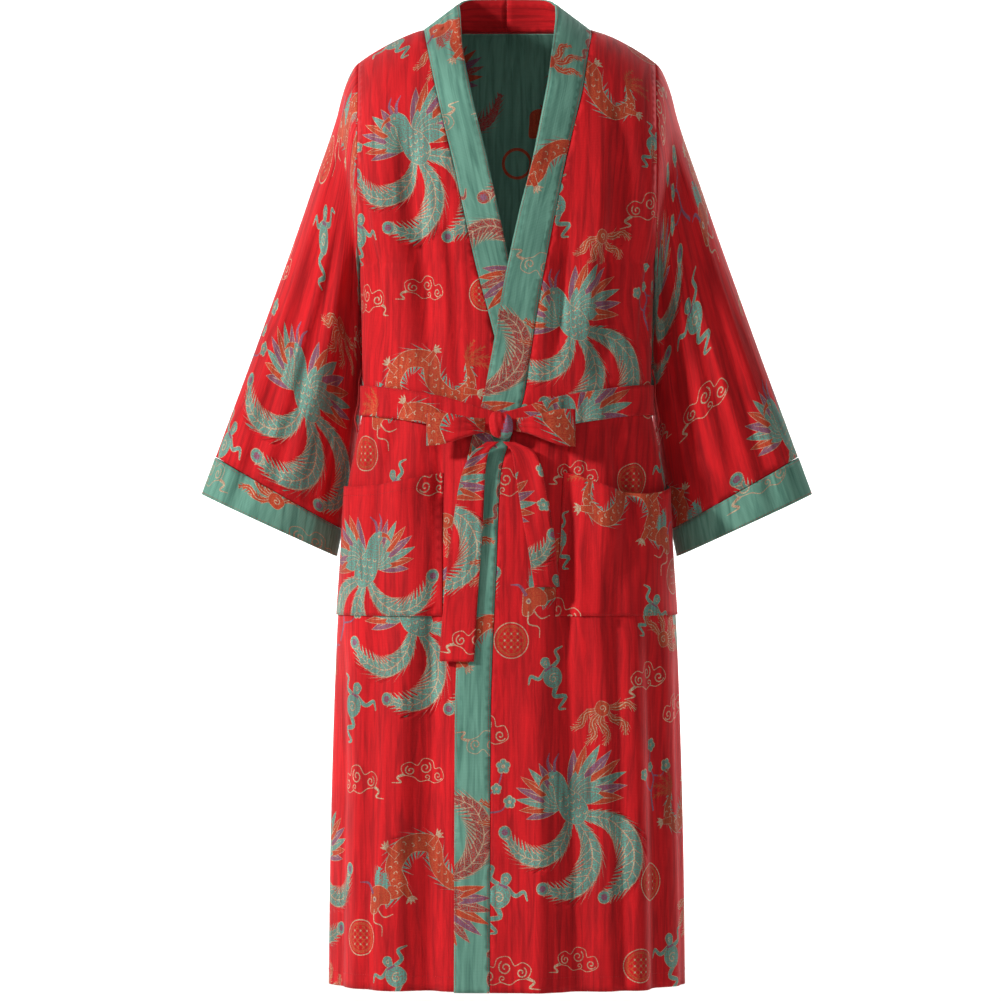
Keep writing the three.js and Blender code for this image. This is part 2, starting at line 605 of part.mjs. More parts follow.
function band(name, left) {
  const fronts = BAND_ROWS.length;
  return piece(
    name,
    wall({
      rows: fronts + STAND_ROWS - 1,
      cols: BAND_COLUMNS,
      at: (i, j) => {
        const across = j / BAND_COLUMNS;
        if (i < fronts) return bandFront(BAND_ROWS[i], across, left);
        return bandBack(i - fronts + 1, across, left);
      },
      thick: DOUBLED,
      flat: (i) => (i === fronts + STAND_ROWS - 1 ? "x" : null),
      outward: left ? -1 : 1,
    }),
    GREEN,
  );
}

// A patch pocket, made from its front panel's own columns and rows and moved out.
function pocket(name, left) {
  const { inner, outer, sag, gape } = left ? LEFT_POCKET : RIGHT_POCKET;
  const rows = FRONT_ROWS.filter((z) => z < POCKET_TOP - 30 && z >= POCKET_BOTTOM);
  const point = (i, column, thick) => {
    const j = left ? column : POCKET_COLUMNS - column;
    const across = j / POCKET_COLUMNS;
    const mouth = mix(outer, inner, across) - sag * Math.sin(Math.PI * across) ** 1.5;
    const z = i === 0 ? mouth : rows[i - 1];
    const down = clamp((mouth - z) / (mouth - POCKET_BOTTOM), 0, 1);
    const open = gape * (1 - down) ** 1.6 * Math.sin(Math.PI * across) ** 0.8;
    return frontPoint(frontShare(j + 1, z, left), z, left, SEAM_GAP + thick + open);
  };
  return piece(
    name,
    wall({
      rows: rows.length,
      cols: POCKET_COLUMNS,
      at: (i, j) => point(i, j, CLOTH),
      inside: (i, j) => point(i, j, 0),
    }),
    RED,
  );
}

// A sleeve, as a tube round its sections. turn goes round from the outer edge over
// the front to the inner edge and back.
const ARMHOLE_TURNS = ARMHOLE_ROWS.map((level) => {
  const z = level + ridge(SHOULDER_HALF) * slope(level);
  const down = (SLEEVE[0].outerZ - z) / (SLEEVE[0].outerZ - SLEEVE[0].innerZ);
  return Math.acos(clamp(1 - 2 * down, -1, 1));
});
const SLEEVE_TURNS = [
  ...ARMHOLE_TURNS,
  ...ARMHOLE_TURNS.slice(1, -1).reverse().map((turn) => 2 * Math.PI - turn),
];
const SLEEVE_ROWS = [0, 0.02, 0.06, 0.12, 0.2, 0.29, 0.38, 0.47, 0.56, 0.65, 0.74, 0.83, CUFF_AT];
const CUFF_ROWS = [CUFF_AT + 0.0014, 0.96, 1];
const sleeve = columns(SLEEVE, "at");
function sleeveFold(at, across, face) {
  let depth = 0;
  for (const fold of SLEEVE_FOLDS) {
    if (fold.face !== face) continue;
    const off = (across - fold.across) / fold.wide;
    const fade = smooth((at - fold.from) / SLEEVE_FOLD_FADE) * smooth((fold.to - at) / SLEEVE_FOLD_FADE);
    depth += fold.deep * fade * Math.exp(-1.5 * off * off);
  }
  return depth;
}
function sleevePoint(at, turn, left, proud = 0) {
  const across = Math.cos(turn);
  const face = Math.sin(turn) >= 0 ? 1 : -1;
  const inward = (1 - across) / 2;
  const spread = mix(0.5, mix(0.5, 0.8, sleeve.crease(at)), smooth((across + 0.2) / 1.2));
  const lens = Math.abs(Math.sin(turn)) ** (2 * spread) * sleeve.depth(at);
  const z = mix(sleeve.outerZ(at), sleeve.innerZ(at), inward);
  const hole = mix(SLEEVE[0].outerZ, SLEEVE[0].innerZ, inward);
  const edge = surface(stationAt(SHOULDER_HALF, hole, face > 0), hole);
  const armhole = Math.abs(edge.y);
  const depth = mix(armhole, lens, smooth(at / 0.12)) + proud;
  const back = sleeve.back(at) * mix(SLEEVE_OUTER_BACK, 1, inward);
  const fold = sleeveFold(at, across, face) * Math.abs(Math.sin(turn));
  const x = mix(sleeve.outerX(at), sleeve.innerX(at), inward) + proud * across;
  return new THREE.Vector3((left ? 1 : -1) * x, back - face * (depth + fold), z);
}
function sleevePiece(name, left, rows, thick, proud, color) {
  return piece(
    name,
    wall({
      rows: rows.length - 1,
      cols: SLEEVE_TURNS.length,
      at: (i, j) => sleevePoint(rows[i], SLEEVE_TURNS[j], left, proud),
      thick,
      round: true,
      flat: (i) => (rows[i] === 0 ? "x" : null),
      outward: left ? 1 : -1,
    }),
    color,
  );
}

// The belt, a closed ring that sags to the knot in front.
const BELT_COLUMNS = 72;
const BELT_ROWS = 2;
function beltAt(x) {
  const toKnot = 1 - clamp(Math.abs(x - KNOT.x) / body.half(BELT_SIDE_Z), 0, 1);
  const height = BELT_HEIGHT - CINCH * smooth((toKnot - 0.55) / 0.45);
  return { middle: BELT_SIDE_Z - BELT_SAG * toKnot ** 1.3, height };
}
function beltPoint(i, j, thick) {
  const station = j / BELT_COLUMNS;
  const x = ringPoint(station, BELT_SIDE_Z).x;
  const onFront = station < 0.5;
  const { middle, height } = onFront ? beltAt(x) : { middle: BELT_SIDE_Z, height: BELT_HEIGHT };
  const z = middle + height * (0.5 - i / BELT_ROWS);
  const climb = smooth((LAP_FROM - x) / (LAP_FROM - LAP_FULL)) * smooth((x + 125) / 50);
  const layers = onFront ? (lap.over(z) + BAND_PROUD) * climb : 0;
  return surface(station, z, layers + BELT_CLEAR + thick);
}
function belt() {
  return wall({
    rows: BELT_ROWS,
    cols: BELT_COLUMNS,
    at: (i, j) => beltPoint(i, j, DOUBLED),
    inside: (i, j) => beltPoint(i, j, 0),
    round: true,
  });
}

// The point in front of all the cloth at the belt, lifted off it by off.
function before(x, z, off) {
  return surface(stationAt(x, z, true), z, lap.over(z) + BAND_PROUD + off);
}
function beltFace(x) {
  const { middle, height } = beltAt(x);
  return before(x, middle - height / 2, BELT_CLEAR + DOUBLED).y;
}

// A loop of the bow: a strip that goes out behind, turns at its tip and comes back.
const LOOP_COLUMNS = 16;
const LOOP_ROWS = 3;
function loop(size) {
  const start = KNOT.x + size.side * (KNOT.width / 2 + SEAM_GAP);
  const tip = size.side * size.tip;
  const point = (i, j) => {
    const turn = (2 * Math.PI * j) / LOOP_COLUMNS;
    const out = (1 - Math.cos(turn)) / 2;
    const x = mix(start, tip, out);
    const height = mix(size.rootHeight, size.tipHeight, smooth(out * 1.15));
    const z = mix(size.rootZ, size.tipZ, out) + height * (0.5 - i / LOOP_ROWS);
    const half = DOUBLED + 0.8 + (size.plump - DOUBLED) * Math.sin(Math.PI * out) ** 0.8;
    const middle = beltFace(start) - LOOP_CLEAR - size.plump - 4 * Math.sin(Math.PI * out);
    return new THREE.Vector3(x, middle + Math.sign(Math.round(8 * Math.sin(turn))) * half, z);
  };
  return wall({
    rows: LOOP_ROWS,
    cols: LOOP_COLUMNS,
    at: point,
    thick: DOUBLED,
    round: true,
    outward: size.side,
  });
}

// The knot, a rounded lump with a flatter back.
const KNOT_RINGS = 8;
const KNOT_COLUMNS = 16;
function knot() {
  const face = beltFace(KNOT.x) - SEAM_GAP;
  const points = [];
  const faces = [];
  const shaped = (v, power) => Math.sign(v) * Math.abs(v) ** power;
  for (let i = 1; i < KNOT_RINGS; i += 1) {
    const rise = Math.cos((Math.PI * i) / KNOT_RINGS);
    const round = Math.sin((Math.PI * i) / KNOT_RINGS) ** 0.7;
    for (let j = 0; j < KNOT_COLUMNS; j += 1) {
      const turn = (2 * Math.PI * j) / KNOT_COLUMNS;
      const x = (KNOT.width / 2) * round * shaped(Math.cos(turn), 0.75);
      const y = (KNOT.depth / 2) * (1 + round * shaped(Math.sin(turn), 0.75));
      const z = KNOT.z + (KNOT.height / 2) * shaped(rise, 0.8);
      points.push(new THREE.Vector3(KNOT.x + x, face - y, z));
    }
  }
  const top = points.length;
  points.push(new THREE.Vector3(KNOT.x, face - KNOT.depth / 2, KNOT.z + KNOT.height / 2));
  points.push(new THREE.Vector3(KNOT.x, face - KNOT.depth / 2, KNOT.z - KNOT.height / 2));
  for (let j = 0; j < KNOT_COLUMNS; j += 1) {
    const next = (j + 1) % KNOT_COLUMNS;
    faces.push(top, j, next);
    for (let i = 0; i < KNOT_RINGS - 2; i += 1) {
      const a = i * KNOT_COLUMNS;
      faces.push(a + j, a + KNOT_COLUMNS + j, a + KNOT_COLUMNS + next);
      faces.push(a + j, a + KNOT_COLUMNS + next, a + next);
    }
    const low = (KNOT_RINGS - 2) * KNOT_COLUMNS;
    faces.push(top + 1, low + next, low + j);
  }
  return closed(points, faces);
}

// A hanging end of the belt, over all that lies under it.
const TAIL_ROWS = 9;
const TAIL_COLUMNS = 3;
function tail(table) {
  const edge = columns(table, "z");
  const top = table[0].z;
  const bottom = table[table.length - 1].z;
  const point = (i, j, thick) => {
    const z = mix(top, bottom, i / TAIL_ROWS);
    const x = mix(edge.high(z), edge.low(z), j / TAIL_COLUMNS);
    return before(x, z, edge.off(z) - DOUBLED + thick);
  };
  return wall({
    rows: TAIL_ROWS,
    cols: TAIL_COLUMNS,
    at: (i, j) => point(i, j, DOUBLED),
    inside: (i, j) => point(i, j, 0),
  });
}

// A thread loop on the side seam, round the belt.
const CARRIER_ROWS = 14;
function carrier(left) {
  const sign = left ? 1 : -1;
  const at = (i, corner) => {
    const z = mix(CARRIER.top, CARRIER.bottom, i / CARRIER_ROWS);
    const away = smooth((CARRIER.top - z) / CARRIER.ends) * smooth((z - CARRIER.bottom) / CARRIER.ends);
    const slack = CARRIER.slack * smooth((CARRIER.top - z - 30) / 30) * away;
    const near = SEAM_GAP + (BELT_CLEAR + DOUBLED) * away + slack;
    const out = near + (corner % 3 === 0 ? 0 : CARRIER.thick);
    const y = (CARRIER.thick / 2) * (corner < 2 ? -1 : 1);
    return new THREE.Vector3(sign * (body.half(z) + out), y, z);
  };
  const points = [];
  const faces = [];
  for (let i = 0; i <= CARRIER_ROWS; i += 1) {
    for (let j = 0; j < 4; j += 1) points.push(at(i, j));
  }
  for (let i = 0; i < CARRIER_ROWS; i += 1) {
    for (let j = 0; j < 4; j += 1) {
      const a = 4 * i + j;
      const b = 4 * i + ((j + 1) % 4);
      faces.push(a, b, b + 4, a, b + 4, a + 4);
    }
  }
  const last = 4 * CARRIER_ROWS;
  faces.push(0, 3, 2, 0, 2, 1, last, last + 1, last + 2, last, last + 2, last + 3);
  return closed(points, faces);
}

const root = new THREE.Group();
root.add(backPanel(), front("front_left", true), front("front_right", false));
root.add(band("band_left", true), band("band_right", false));
root.add(pocket("pocket_left", true), pocket("pocket_right", false));
root.add(sleevePiece("sleeve_left", true, SLEEVE_ROWS, CLOTH, 0, RED));
root.add(sleevePiece("sleeve_right", false, SLEEVE_ROWS, CLOTH, 0, RED));
root.add(sleevePiece("cuff_left", true, CUFF_ROWS, DOUBLED, BAND_PROUD, GREEN));
root.add(sleevePiece("cuff_right", false, CUFF_ROWS, DOUBLED, BAND_PROUD, GREEN));
root.add(piece("belt_waist", belt(), RED), piece("belt_knot", knot(), RED));
root.add(piece("bow_left", loop(LEFT_LOOP), RED), piece("bow_right", loop(RIGHT_LOOP), RED));
root.add(piece("tail_left", tail(LEFT_TAIL), RED), piece("tail_right", tail(RIGHT_TAIL), RED));
root.add(piece("carrier_left", carrier(true), RED), piece("carrier_right", carrier(false), RED));

export default root;
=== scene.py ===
# %% [markdown]
# A yukata is cut from straight pieces: a back, two fronts, two sleeves, and one long
# band round the neck and down both front edges. This one is worn shape with nobody in
# it. The solids of the frame already hold that shape as plain walls. Here each wall is
# dressed as real cloth: a thin closed shell on the same form, with finer creases, and
# with the woven figures cut into the shell itself, so that they stay sharp.

# %% Load the frame
import bpy
import math
import numpy as np
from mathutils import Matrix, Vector, geometry

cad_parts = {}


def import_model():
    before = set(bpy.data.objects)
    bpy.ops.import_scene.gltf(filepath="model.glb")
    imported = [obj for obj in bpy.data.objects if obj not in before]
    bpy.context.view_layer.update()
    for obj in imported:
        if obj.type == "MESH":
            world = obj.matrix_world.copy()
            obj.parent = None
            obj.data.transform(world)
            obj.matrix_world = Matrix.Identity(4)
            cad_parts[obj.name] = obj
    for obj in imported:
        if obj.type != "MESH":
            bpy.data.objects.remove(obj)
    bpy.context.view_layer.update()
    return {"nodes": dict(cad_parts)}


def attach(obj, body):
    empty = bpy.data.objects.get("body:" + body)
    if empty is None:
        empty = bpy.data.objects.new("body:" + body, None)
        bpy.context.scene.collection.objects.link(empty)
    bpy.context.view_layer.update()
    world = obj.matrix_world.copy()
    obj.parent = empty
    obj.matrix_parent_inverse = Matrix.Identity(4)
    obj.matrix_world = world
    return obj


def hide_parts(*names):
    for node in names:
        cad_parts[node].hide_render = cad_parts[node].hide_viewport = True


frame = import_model()
print("nodes in the frame:", len(frame["nodes"]))

# %% [markdown]
# The photograph is taken straight on. One pixel is 1.25 mm on the plane of the side
# seams, and a long lens from six metres away keeps the near hem from looking too big.

# %% Camera
MM = 0.001
SHOT_FROM = 6.0
FRAME_WIDTH = 1001 * 1.25 * MM
eye = bpy.data.cameras.new("photo_camera")
eye.sensor_width = 36
eye.lens = 36 * SHOT_FROM / FRAME_WIDTH
camera = bpy.data.objects.new("photo_camera", eye)
camera.location = (-0.008, -SHOT_FROM, -0.588)
camera.rotation_euler = (math.radians(90), 0, 0)
bpy.context.collection.objects.link(camera)
bpy.context.scene.camera = camera

# %% [markdown]
# The form first. The tables are the same ones that the solids were made from, in
# millimetres: rounded rings for the body, soft folds that wander down it, the two
# front edges, and the sections of a sleeve.

# %% Sizes of the garment
HEM = -1190.0
SHOULDER_HALF = 185.0
NECK_HALF = 104.0
SHOULDER_DROP = 41.0
SHOULDER_CURVE = 1.3
UNDERARM = -296.0
RIDGE_RISE = 28.0
NECKLINE_RISE = 3.0
ROOF_FRONT = 150.0
ROOF_BACK = 110.0
CLOTH = 1.6  # thinner than the solids' walls, and nearer the real cloth
DOUBLED = 2.4  # the neckband and the cuffs
GAP = 0.3

BODY = {
    "z": [60, -60, -150, -230, -265, -285, -296, -330, -400, -465,
          -524, -574, -674, -749, -899, -1049, -1190],
    "half": [205, 205, 204, 202, 196, 189.5, 185, 183, 181, 180, 190, 199, 207, 212, 217.5, 221, 222.5],
    "front": [108, 112, 120, 120, 118, 115, 113, 109, 101, 96, 104, 111, 118, 119, 121, 124, 127],
    "back": [108, 108, 108, 105, 102, 99, 98, 94, 86, 81, 90, 101, 113, 116, 117, 120, 124],
    "square": [3, 3, 3, 2.9, 2.8, 2.7, 2.7, 2.6, 2.5, 2.5, 2.5, 2.5, 2.5, 2.5, 2.5, 2.5, 2.5],
}
# at, drift, wide, deep, top, bottom
FOLDS = [
    (0.108, 0.01, 0.024, -9, -110, -430), (0.068, 0.0, 0.022, 4, -130, -430),
    (0.175, 0.01, 0.02, -6, -230, -440), (0.36, -0.01, 0.024, -8, -120, -435),
    (0.325, -0.008, 0.02, 5, -170, -435), (0.41, 0.0, 0.022, 4, -120, -430),
    (0.095, 0.012, 0.022, -8, -490, -640), (0.13, 0.01, 0.02, 6, -495, -700),
    (0.165, 0.02, 0.02, -8, -500, -760), (0.045, -0.006, 0.02, 6, -490, -620),
    (0.335, -0.01, 0.02, -8, -500, -660), (0.375, 0.0, 0.022, 6, -495, -650),
    (0.415, 0.01, 0.022, -7, -490, -640), (0.06, 0.01, 0.034, -7, -800, -1320),
    (0.115, -0.01, 0.034, 8, -720, -1340), (0.18, -0.012, 0.026, -8, -640, -1340),
    (0.225, -0.01, 0.026, 4, -760, -1340), (0.335, 0.0, 0.03, -8, -700, -1360),
    (0.385, 0.008, 0.034, 7, -760, -1340), (0.445, 0.0, 0.03, -5, -820, -1340),
    (0.57, 0.01, 0.026, 6, -180, -440), (0.63, 0.012, 0.026, -8, -130, -440),
    (0.69, 0.006, 0.024, 6, -220, -440), (0.745, 0.0, 0.026, -6, -160, -440),
    (0.81, -0.006, 0.024, 6, -210, -440), (0.87, -0.012, 0.026, -8, -140, -440),
    (0.93, -0.01, 0.026, 6, -180, -440), (0.56, -0.008, 0.03, -8, -490, -1340),
    (0.62, -0.01, 0.028, 8, -495, -1340), (0.68, -0.006, 0.026, -9, -490, -1340),
    (0.735, 0.0, 0.03, 8, -495, -1340), (0.79, 0.006, 0.026, -9, -490, -1340),
    (0.85, 0.01, 0.03, 8, -495, -1340), (0.915, 0.01, 0.03, -8, -490, -1340),
]
# Creases that the cloth alone has, in the same columns: deep ones first, then fine ones.
# They run from the shoulders into the belt, spread out below it, and go down the skirt.
CREASES = [
    (0.118, 0.008, 0.016, -9, -70, -470), (0.178, 0.008, 0.014, -8, -190, -470),
    (0.363, -0.008, 0.016, -9, -70, -470), (0.322, -0.006, 0.014, -7, -170, -470),
    (0.06, 0.0, 0.014, -6, -140, -450), (0.42, -0.004, 0.014, -6, -140, -450),
    (0.1, 0.01, 0.015, -8, -420, -720), (0.168, 0.02, 0.014, -9, -420, -800),
    (0.338, -0.008, 0.015, -9, -420, -760), (0.402, 0.004, 0.015, -8, -420, -700),
    (0.13, -0.004, 0.016, -7, -640, -1340), (0.186, -0.006, 0.018, -9, -600, -1340),
    (0.075, 0.004, 0.018, -7, -700, -1340), (0.335, 0.0, 0.018, -8, -640, -1340),
    (0.398, 0.004, 0.018, -7, -700, -1340), (0.455, 0.0, 0.016, -6, -720, -1340),
    (0.128, 0.004, 0.01, -3.4, -60, -450), (0.147, -0.004, 0.009, 2.4, -110, -450),
    (0.088, 0.006, 0.01, -3.0, -130, -450), (0.162, 0.004, 0.008, -2.8, -200, -455),
    (0.19, 0.004, 0.008, -2.4, -240, -460), (0.052, 0.004, 0.01, -2.8, -170, -450),
    (0.372, -0.004, 0.01, -3.4, -60, -450), (0.39, 0.004, 0.009, 2.4, -110, -450),
    (0.345, -0.006, 0.008, -2.8, -140, -455), (0.318, -0.004, 0.008, -2.6, -200, -460),
    (0.43, -0.006, 0.01, -2.8, -150, -450), (0.3, -0.004, 0.008, -2.2, -260, -460),
    (0.07, 0.008, 0.01, -3.6, -420, -660), (0.112, 0.006, 0.009, -3.4, -420, -720),
    (0.148, 0.01, 0.009, -3.4, -420, -760), (0.185, 0.012, 0.009, -3.2, -420, -740),
    (0.207, 0.01, 0.008, 2.4, -420, -700), (0.318, -0.008, 0.009, -3.4, -420, -760),
    (0.355, -0.008, 0.009, -3.4, -420, -730), (0.395, -0.006, 0.009, -3.6, -420, -680),
    (0.43, 0.004, 0.01, -3.2, -420, -660), (0.298, -0.004, 0.008, 2.4, -420, -740),
    (0.085, 0.004, 0.012, -3.4, -690, -1300), (0.14, -0.006, 0.012, 3.2, -730, -1300),
    (0.158, 0.008, 0.012, -3.8, -580, -1300), (0.2, 0.004, 0.012, -3.2, -670, -1300),
    (0.215, 0.0, 0.01, 2.6, -860, -1300), (0.03, 0.0, 0.012, -3.2, -730, -1300),
    (0.35, 0.006, 0.012, -3.2, -770, -1300), (0.41, -0.004, 0.012, -3.4, -710, -1300),
    (0.365, 0.0, 0.012, 2.8, -670, -1300), (0.47, 0.0, 0.012, -3.2, -730, -1300),
    (0.54, 0.0, 0.012, -3.0, -430, -1300), (0.595, 0.004, 0.011, 2.8, -430, -1300),
    (0.645, 0.0, 0.011, -3.2, -430, -1300), (0.705, 0.004, 0.011, -3.0, -430, -1300),
    (0.765, -0.004, 0.011, -3.0, -430, -1300), (0.82, 0.0, 0.011, 2.8, -430, -1300),
    (0.88, 0.0, 0.011, -3.2, -430, -1300), (0.955, 0.0, 0.012, -3.0, -430, -1300),
    (0.6, 0.004, 0.01, -2.8, -140, -450), (0.66, 0.0, 0.01, 2.4, -120, -450),
    (0.72, 0.004, 0.01, -2.8, -200, -450), (0.78, -0.004, 0.01, -2.8, -160, -450),
    (0.84, 0.0, 0.01, 2.4, -120, -450), (0.9, -0.004, 0.01, -2.8, -150, -450),
]
FOLD_FADE = 110.0
LEFT_EDGE = {
    "z": [0, -8, -22, -41, -86, -119, -178, -237, -330, -410, -459, -500, -558, -660, -866, -1190],
    "seam": [104, 105.3, 103, 99.7, 92.4, 84.4, 70.5, 58.7, 41.1, 28.4, 21, 8, -8, -12.5, -20, -21],
    "reach": [43, 44, 43, 43, 42.5, 41, 39, 42.5, 45, 46.5, 49, 47, 44, 44, 44, 44],
    "rise": [33, 29, 24, 18, 12, 10, 8, 8, 8, 6, 4, 2, 0, 0, 0, 0],
    "forward": [-2, 2, 5, 8, 10, 10, 9, 7, 4, 2, 0, 0, 0, 0, 0, 0],
}
RIGHT_EDGE = {
    "z": [0, -8, -22, -50, -112, -180, -239, -298, -355, -410, -459, -558, -706, -1190],
    "seam": [104, 102.5, 100, 94.5, 81, 64.8, 52.2, 39, 23.7, 10, -1, -9, -16, -21],
    "reach": [43, 43.5, 42.5, 40.5, 40.5, 41, 41.3, 41.5, 42, 44, 45, 44, 44, 44],
    "rise": [33, 29, 22, 14, 9, 8, 8, 8, 8, 6, 4, 1, 0, 0],
    "forward": [-2, 2, 5, 8, 10, 8, 4, 0, 0, 0, 0, 0, 0, 0],
}
LAP = {
    "z": [60, -165, -262, -462, -700, -1190],
    "over": [0, 0, 3, 3, 6, 9],
    "under": [0, 0, -1.2, -1.2, -1.2, -1.5],
}
LAP_FROM = 150.0
LAP_FULL = 74.0
STAND = {
    "x": [0, 50, 80, 98, 104],
    "reach": [0, 8, 24, 38, 43],
    "rise": [41, 40.5, 38, 34.5, 33],
    "lean": [-18, -17, -12, -3, 2],
}
SLEEVE = {
    "at": [0, 0.02, 0.07, 0.14, 0.28, 0.42, 0.56, 0.7, 0.85, 1],
    "outerX": [185.3, 192, 204, 214, 240, 266, 293, 320, 350, 382],
    "outerZ": [-41, -48, -75, -112, -187, -262, -337, -412, -493, -580],
    "innerX": [185.3, 185.0, 183, 180.5, 178.5, 178.5, 183, 190, 201, 214],
    "innerZ": [-296, -305, -325, -352, -392, -433, -478, -530, -594, -658],
    "back": [0, 5, 14, 24, 36, 43, 46, 46, 42, 36],
    "depth": [72, 66, 61, 60, 62, 62, 60, 57, 52, 47],
    "crease": [0, 0, 0.05, 0.1, 0.2, 0.35, 0.5, 0.65, 0.8, 0.9],
}
# face, across, wide, deep, start, end
SLEEVE_FOLDS = [
    (1, -0.62, 0.3, -11, 0.1, 0.75), (1, -0.05, 0.24, 6, 0.2, 0.98), (1, 0.42, 0.22, -4, 0.3, 1.1),
    (-1, -0.55, 0.3, -9, 0.1, 0.8), (-1, 0.0, 0.26, 6, 0.2, 1.1), (-1, 0.45, 0.22, -5, 0.25, 1.1),
]
# Creases that the cloth of the sleeves alone has, in the same columns.
SLEEVE_CREASES = [
    (1, -0.5, 0.13, -9, 0.05, 0.8), (1, 0.05, 0.12, -8, 0.2, 1.0), (1, 0.5, 0.13, -7, 0.15, 1.1),
    (-1, -0.45, 0.13, -8, 0.1, 0.9), (-1, 0.3, 0.13, -7, 0.2, 1.1),
    (1, -0.84, 0.07, -4, 0.05, 0.6), (1, -0.36, 0.08, -4.5, 0.1, 0.72), (1, -0.2, 0.06, 2.5, 0.2, 0.8),
    (1, 0.16, 0.08, -4, 0.15, 1.0), (1, 0.3, 0.06, 2.5, 0.3, 1.1), (1, 0.62, 0.08, -3.5, 0.1, 0.9),
    (1, -0.62, 0.07, 3, 0.45, 1.1), (1, 0.82, 0.06, -2.5, 0.3, 1.1),
    (-1, -0.78, 0.08, -3.5, 0.1, 0.7), (-1, -0.3, 0.08, -4, 0.15, 1.0), (-1, 0.2, 0.08, -3.5, 0.1, 0.9),
    (-1, 0.66, 0.08, -3, 0.2, 1.1),
]
CUFF_AT = 0.92

# %% [markdown]
# A table column becomes a smooth curve that never overshoots its rows. The rings are
# laid out once in a fine table, with their points labelled by how far round they are,
# and any point of the cloth is then looked up in it.

# %% Curves through the tables
def smooth(t):
    s = np.clip(t, 0, 1)
    return s * s * (3 - 2 * s)


def mix(a, b, t):
    return a + (b - a) * t


def column(table, by, key):
    order = np.argsort(table[by])
    x = np.array(table[by], float)[order]
    y = np.array(table[key], float)[order]
    step = np.diff(y) / np.diff(x)
    slope = np.concatenate([step[:1], np.zeros(len(x) - 2), step[-1:]])
    same = step[:-1] * step[1:] > 0
    both = np.where(same, step[:-1] + step[1:], 1)
    slope[1:-1] = np.where(same, 2 * step[:-1] * step[1:] / both, 0)

    def at(value):
        value = np.clip(np.asarray(value, float), x[0], x[-1])
        i = np.clip(np.searchsorted(x, value, side="right") - 1, 0, len(x) - 2)
        span = x[i + 1] - x[i]
        t = (value - x[i]) / span
        a = (2 * t**3 - 3 * t * t + 1) * y[i] + (t**3 - 2 * t * t + t) * span * slope[i]
        return a + (3 * t * t - 2 * t**3) * y[i + 1] + (t**3 - t * t) * span * slope[i + 1]

    return at


def columns(table, by):
    return {key: column(table, by, key) for key in table if key != by}


body = columns(BODY, "z")
lap = columns(LAP, "z")
edges = {True: columns(LEFT_EDGE, "z"), False: columns(RIGHT_EDGE, "z")}
stand = columns(STAND, "x")
sleeve = columns(SLEEVE, "at")

# %% The rings of the worn body
RING_STEPS = 240
RING_ROWS = 600
RING_STATIONS = 1200
ring_z = np.linspace(HEM, 60, RING_ROWS)


def ring_table():
    turn = np.arange(RING_STEPS + 1) / RING_STEPS * 2 * np.pi
    c = np.cos(turn)
    s = np.sin(turn)
    wanted = np.linspace(0, 1, RING_STATIONS + 1)
    rows = []
    for z in ring_z:
        power = 2 / body["square"](z)
        depth = np.where(s > 0, body["front"](z), body["back"](z))
        x = body["half"](z) * np.sign(c) * np.abs(c) ** power
        y = -depth * np.sign(s) * np.abs(s) ** power
        run = np.concatenate([[0], np.cumsum(np.hypot(np.diff(x), np.diff(y)))])
        front = run[RING_STEPS // 2]
        station = np.where(run <= front, 0.5 * run / front, 0.5 + 0.5 * (run - front) / (run[-1] - front))
        dx = np.roll(x[:-1], -2) - np.roll(x[:-1], 2)
        dy = np.roll(y[:-1], -2) - np.roll(y[:-1], 2)
        along = np.hypot(dx, dy)
        out_x = np.append(-dy / along, -dy[0] / along[0])
        out_y = np.append(dx / along, dx[0] / along[0])
        rows.append([np.interp(wanted, station, part) for part in (x, y, out_x, out_y)])
    return np.array(rows)


RINGS = ring_table()


def ring_point(station, z):
    station, z = np.broadcast_arrays(np.asarray(station, float), np.asarray(z, float))
    row = np.clip((z - ring_z[0]) / (ring_z[-1] - ring_z[0]) * (RING_ROWS - 1), 0, RING_ROWS - 1.001)
    col = np.clip(station * RING_STATIONS, 0, RING_STATIONS - 0.001)
    i = row.astype(int)
    j = col.astype(int)
    fi = row - i
    fj = col - j
    parts = []
    for k in range(4):
        a = mix(RINGS[i, k, j], RINGS[i, k, j + 1], fj)
        b = mix(RINGS[i + 1, k, j], RINGS[i + 1, k, j + 1], fj)
        parts.append(mix(a, b, fi))
    return parts


def station_at(x, z, on_front):
    x, z = np.broadcast_arrays(np.asarray(x, float), np.asarray(z, float))
    low = np.full(x.shape, 0.0 if on_front else 0.5)
    high = np.full(x.shape, 0.5 if on_front else 1.0)
    for _ in range(26):
        middle = (low + high) / 2
        here = ring_point(middle, z)[0]
        go = (here > x) if on_front else (here < x)
        low = np.where(go, middle, low)
        high = np.where(go, high, middle)
    return (low + high) / 2


# %% The worn surface: ring, shoulder roof and folds
def ridge(x):
    out = np.abs(x)
    share = np.clip((out - NECK_HALF) / (SHOULDER_HALF - NECK_HALF), 0, None)
    hump = RIDGE_RISE * (1 - (out / NECK_HALF) ** 2)
    return np.where(out < NECK_HALF, hump, -SHOULDER_DROP * share**SHOULDER_CURVE)


def neckline(x):
    return NECKLINE_RISE * (1 - (x / NECK_HALF) ** 2)


def fold_depth(station, z):
    total = np.zeros(np.broadcast(station, z).shape)
    for at, drift, wide, deep, top, bottom in FOLDS + CREASES:
        share = np.clip((top - z) / (top - bottom), 0, 1)
        off = (station - at - drift * share) / wide
        fade = smooth((top - z) / FOLD_FADE) * smooth((z - bottom) / FOLD_FADE)
        bell = np.exp(-2.2 * off * off) * np.clip(1 - (off / 1.6) ** 4, 0, None)
        total = total + deep * fade * bell
    return total


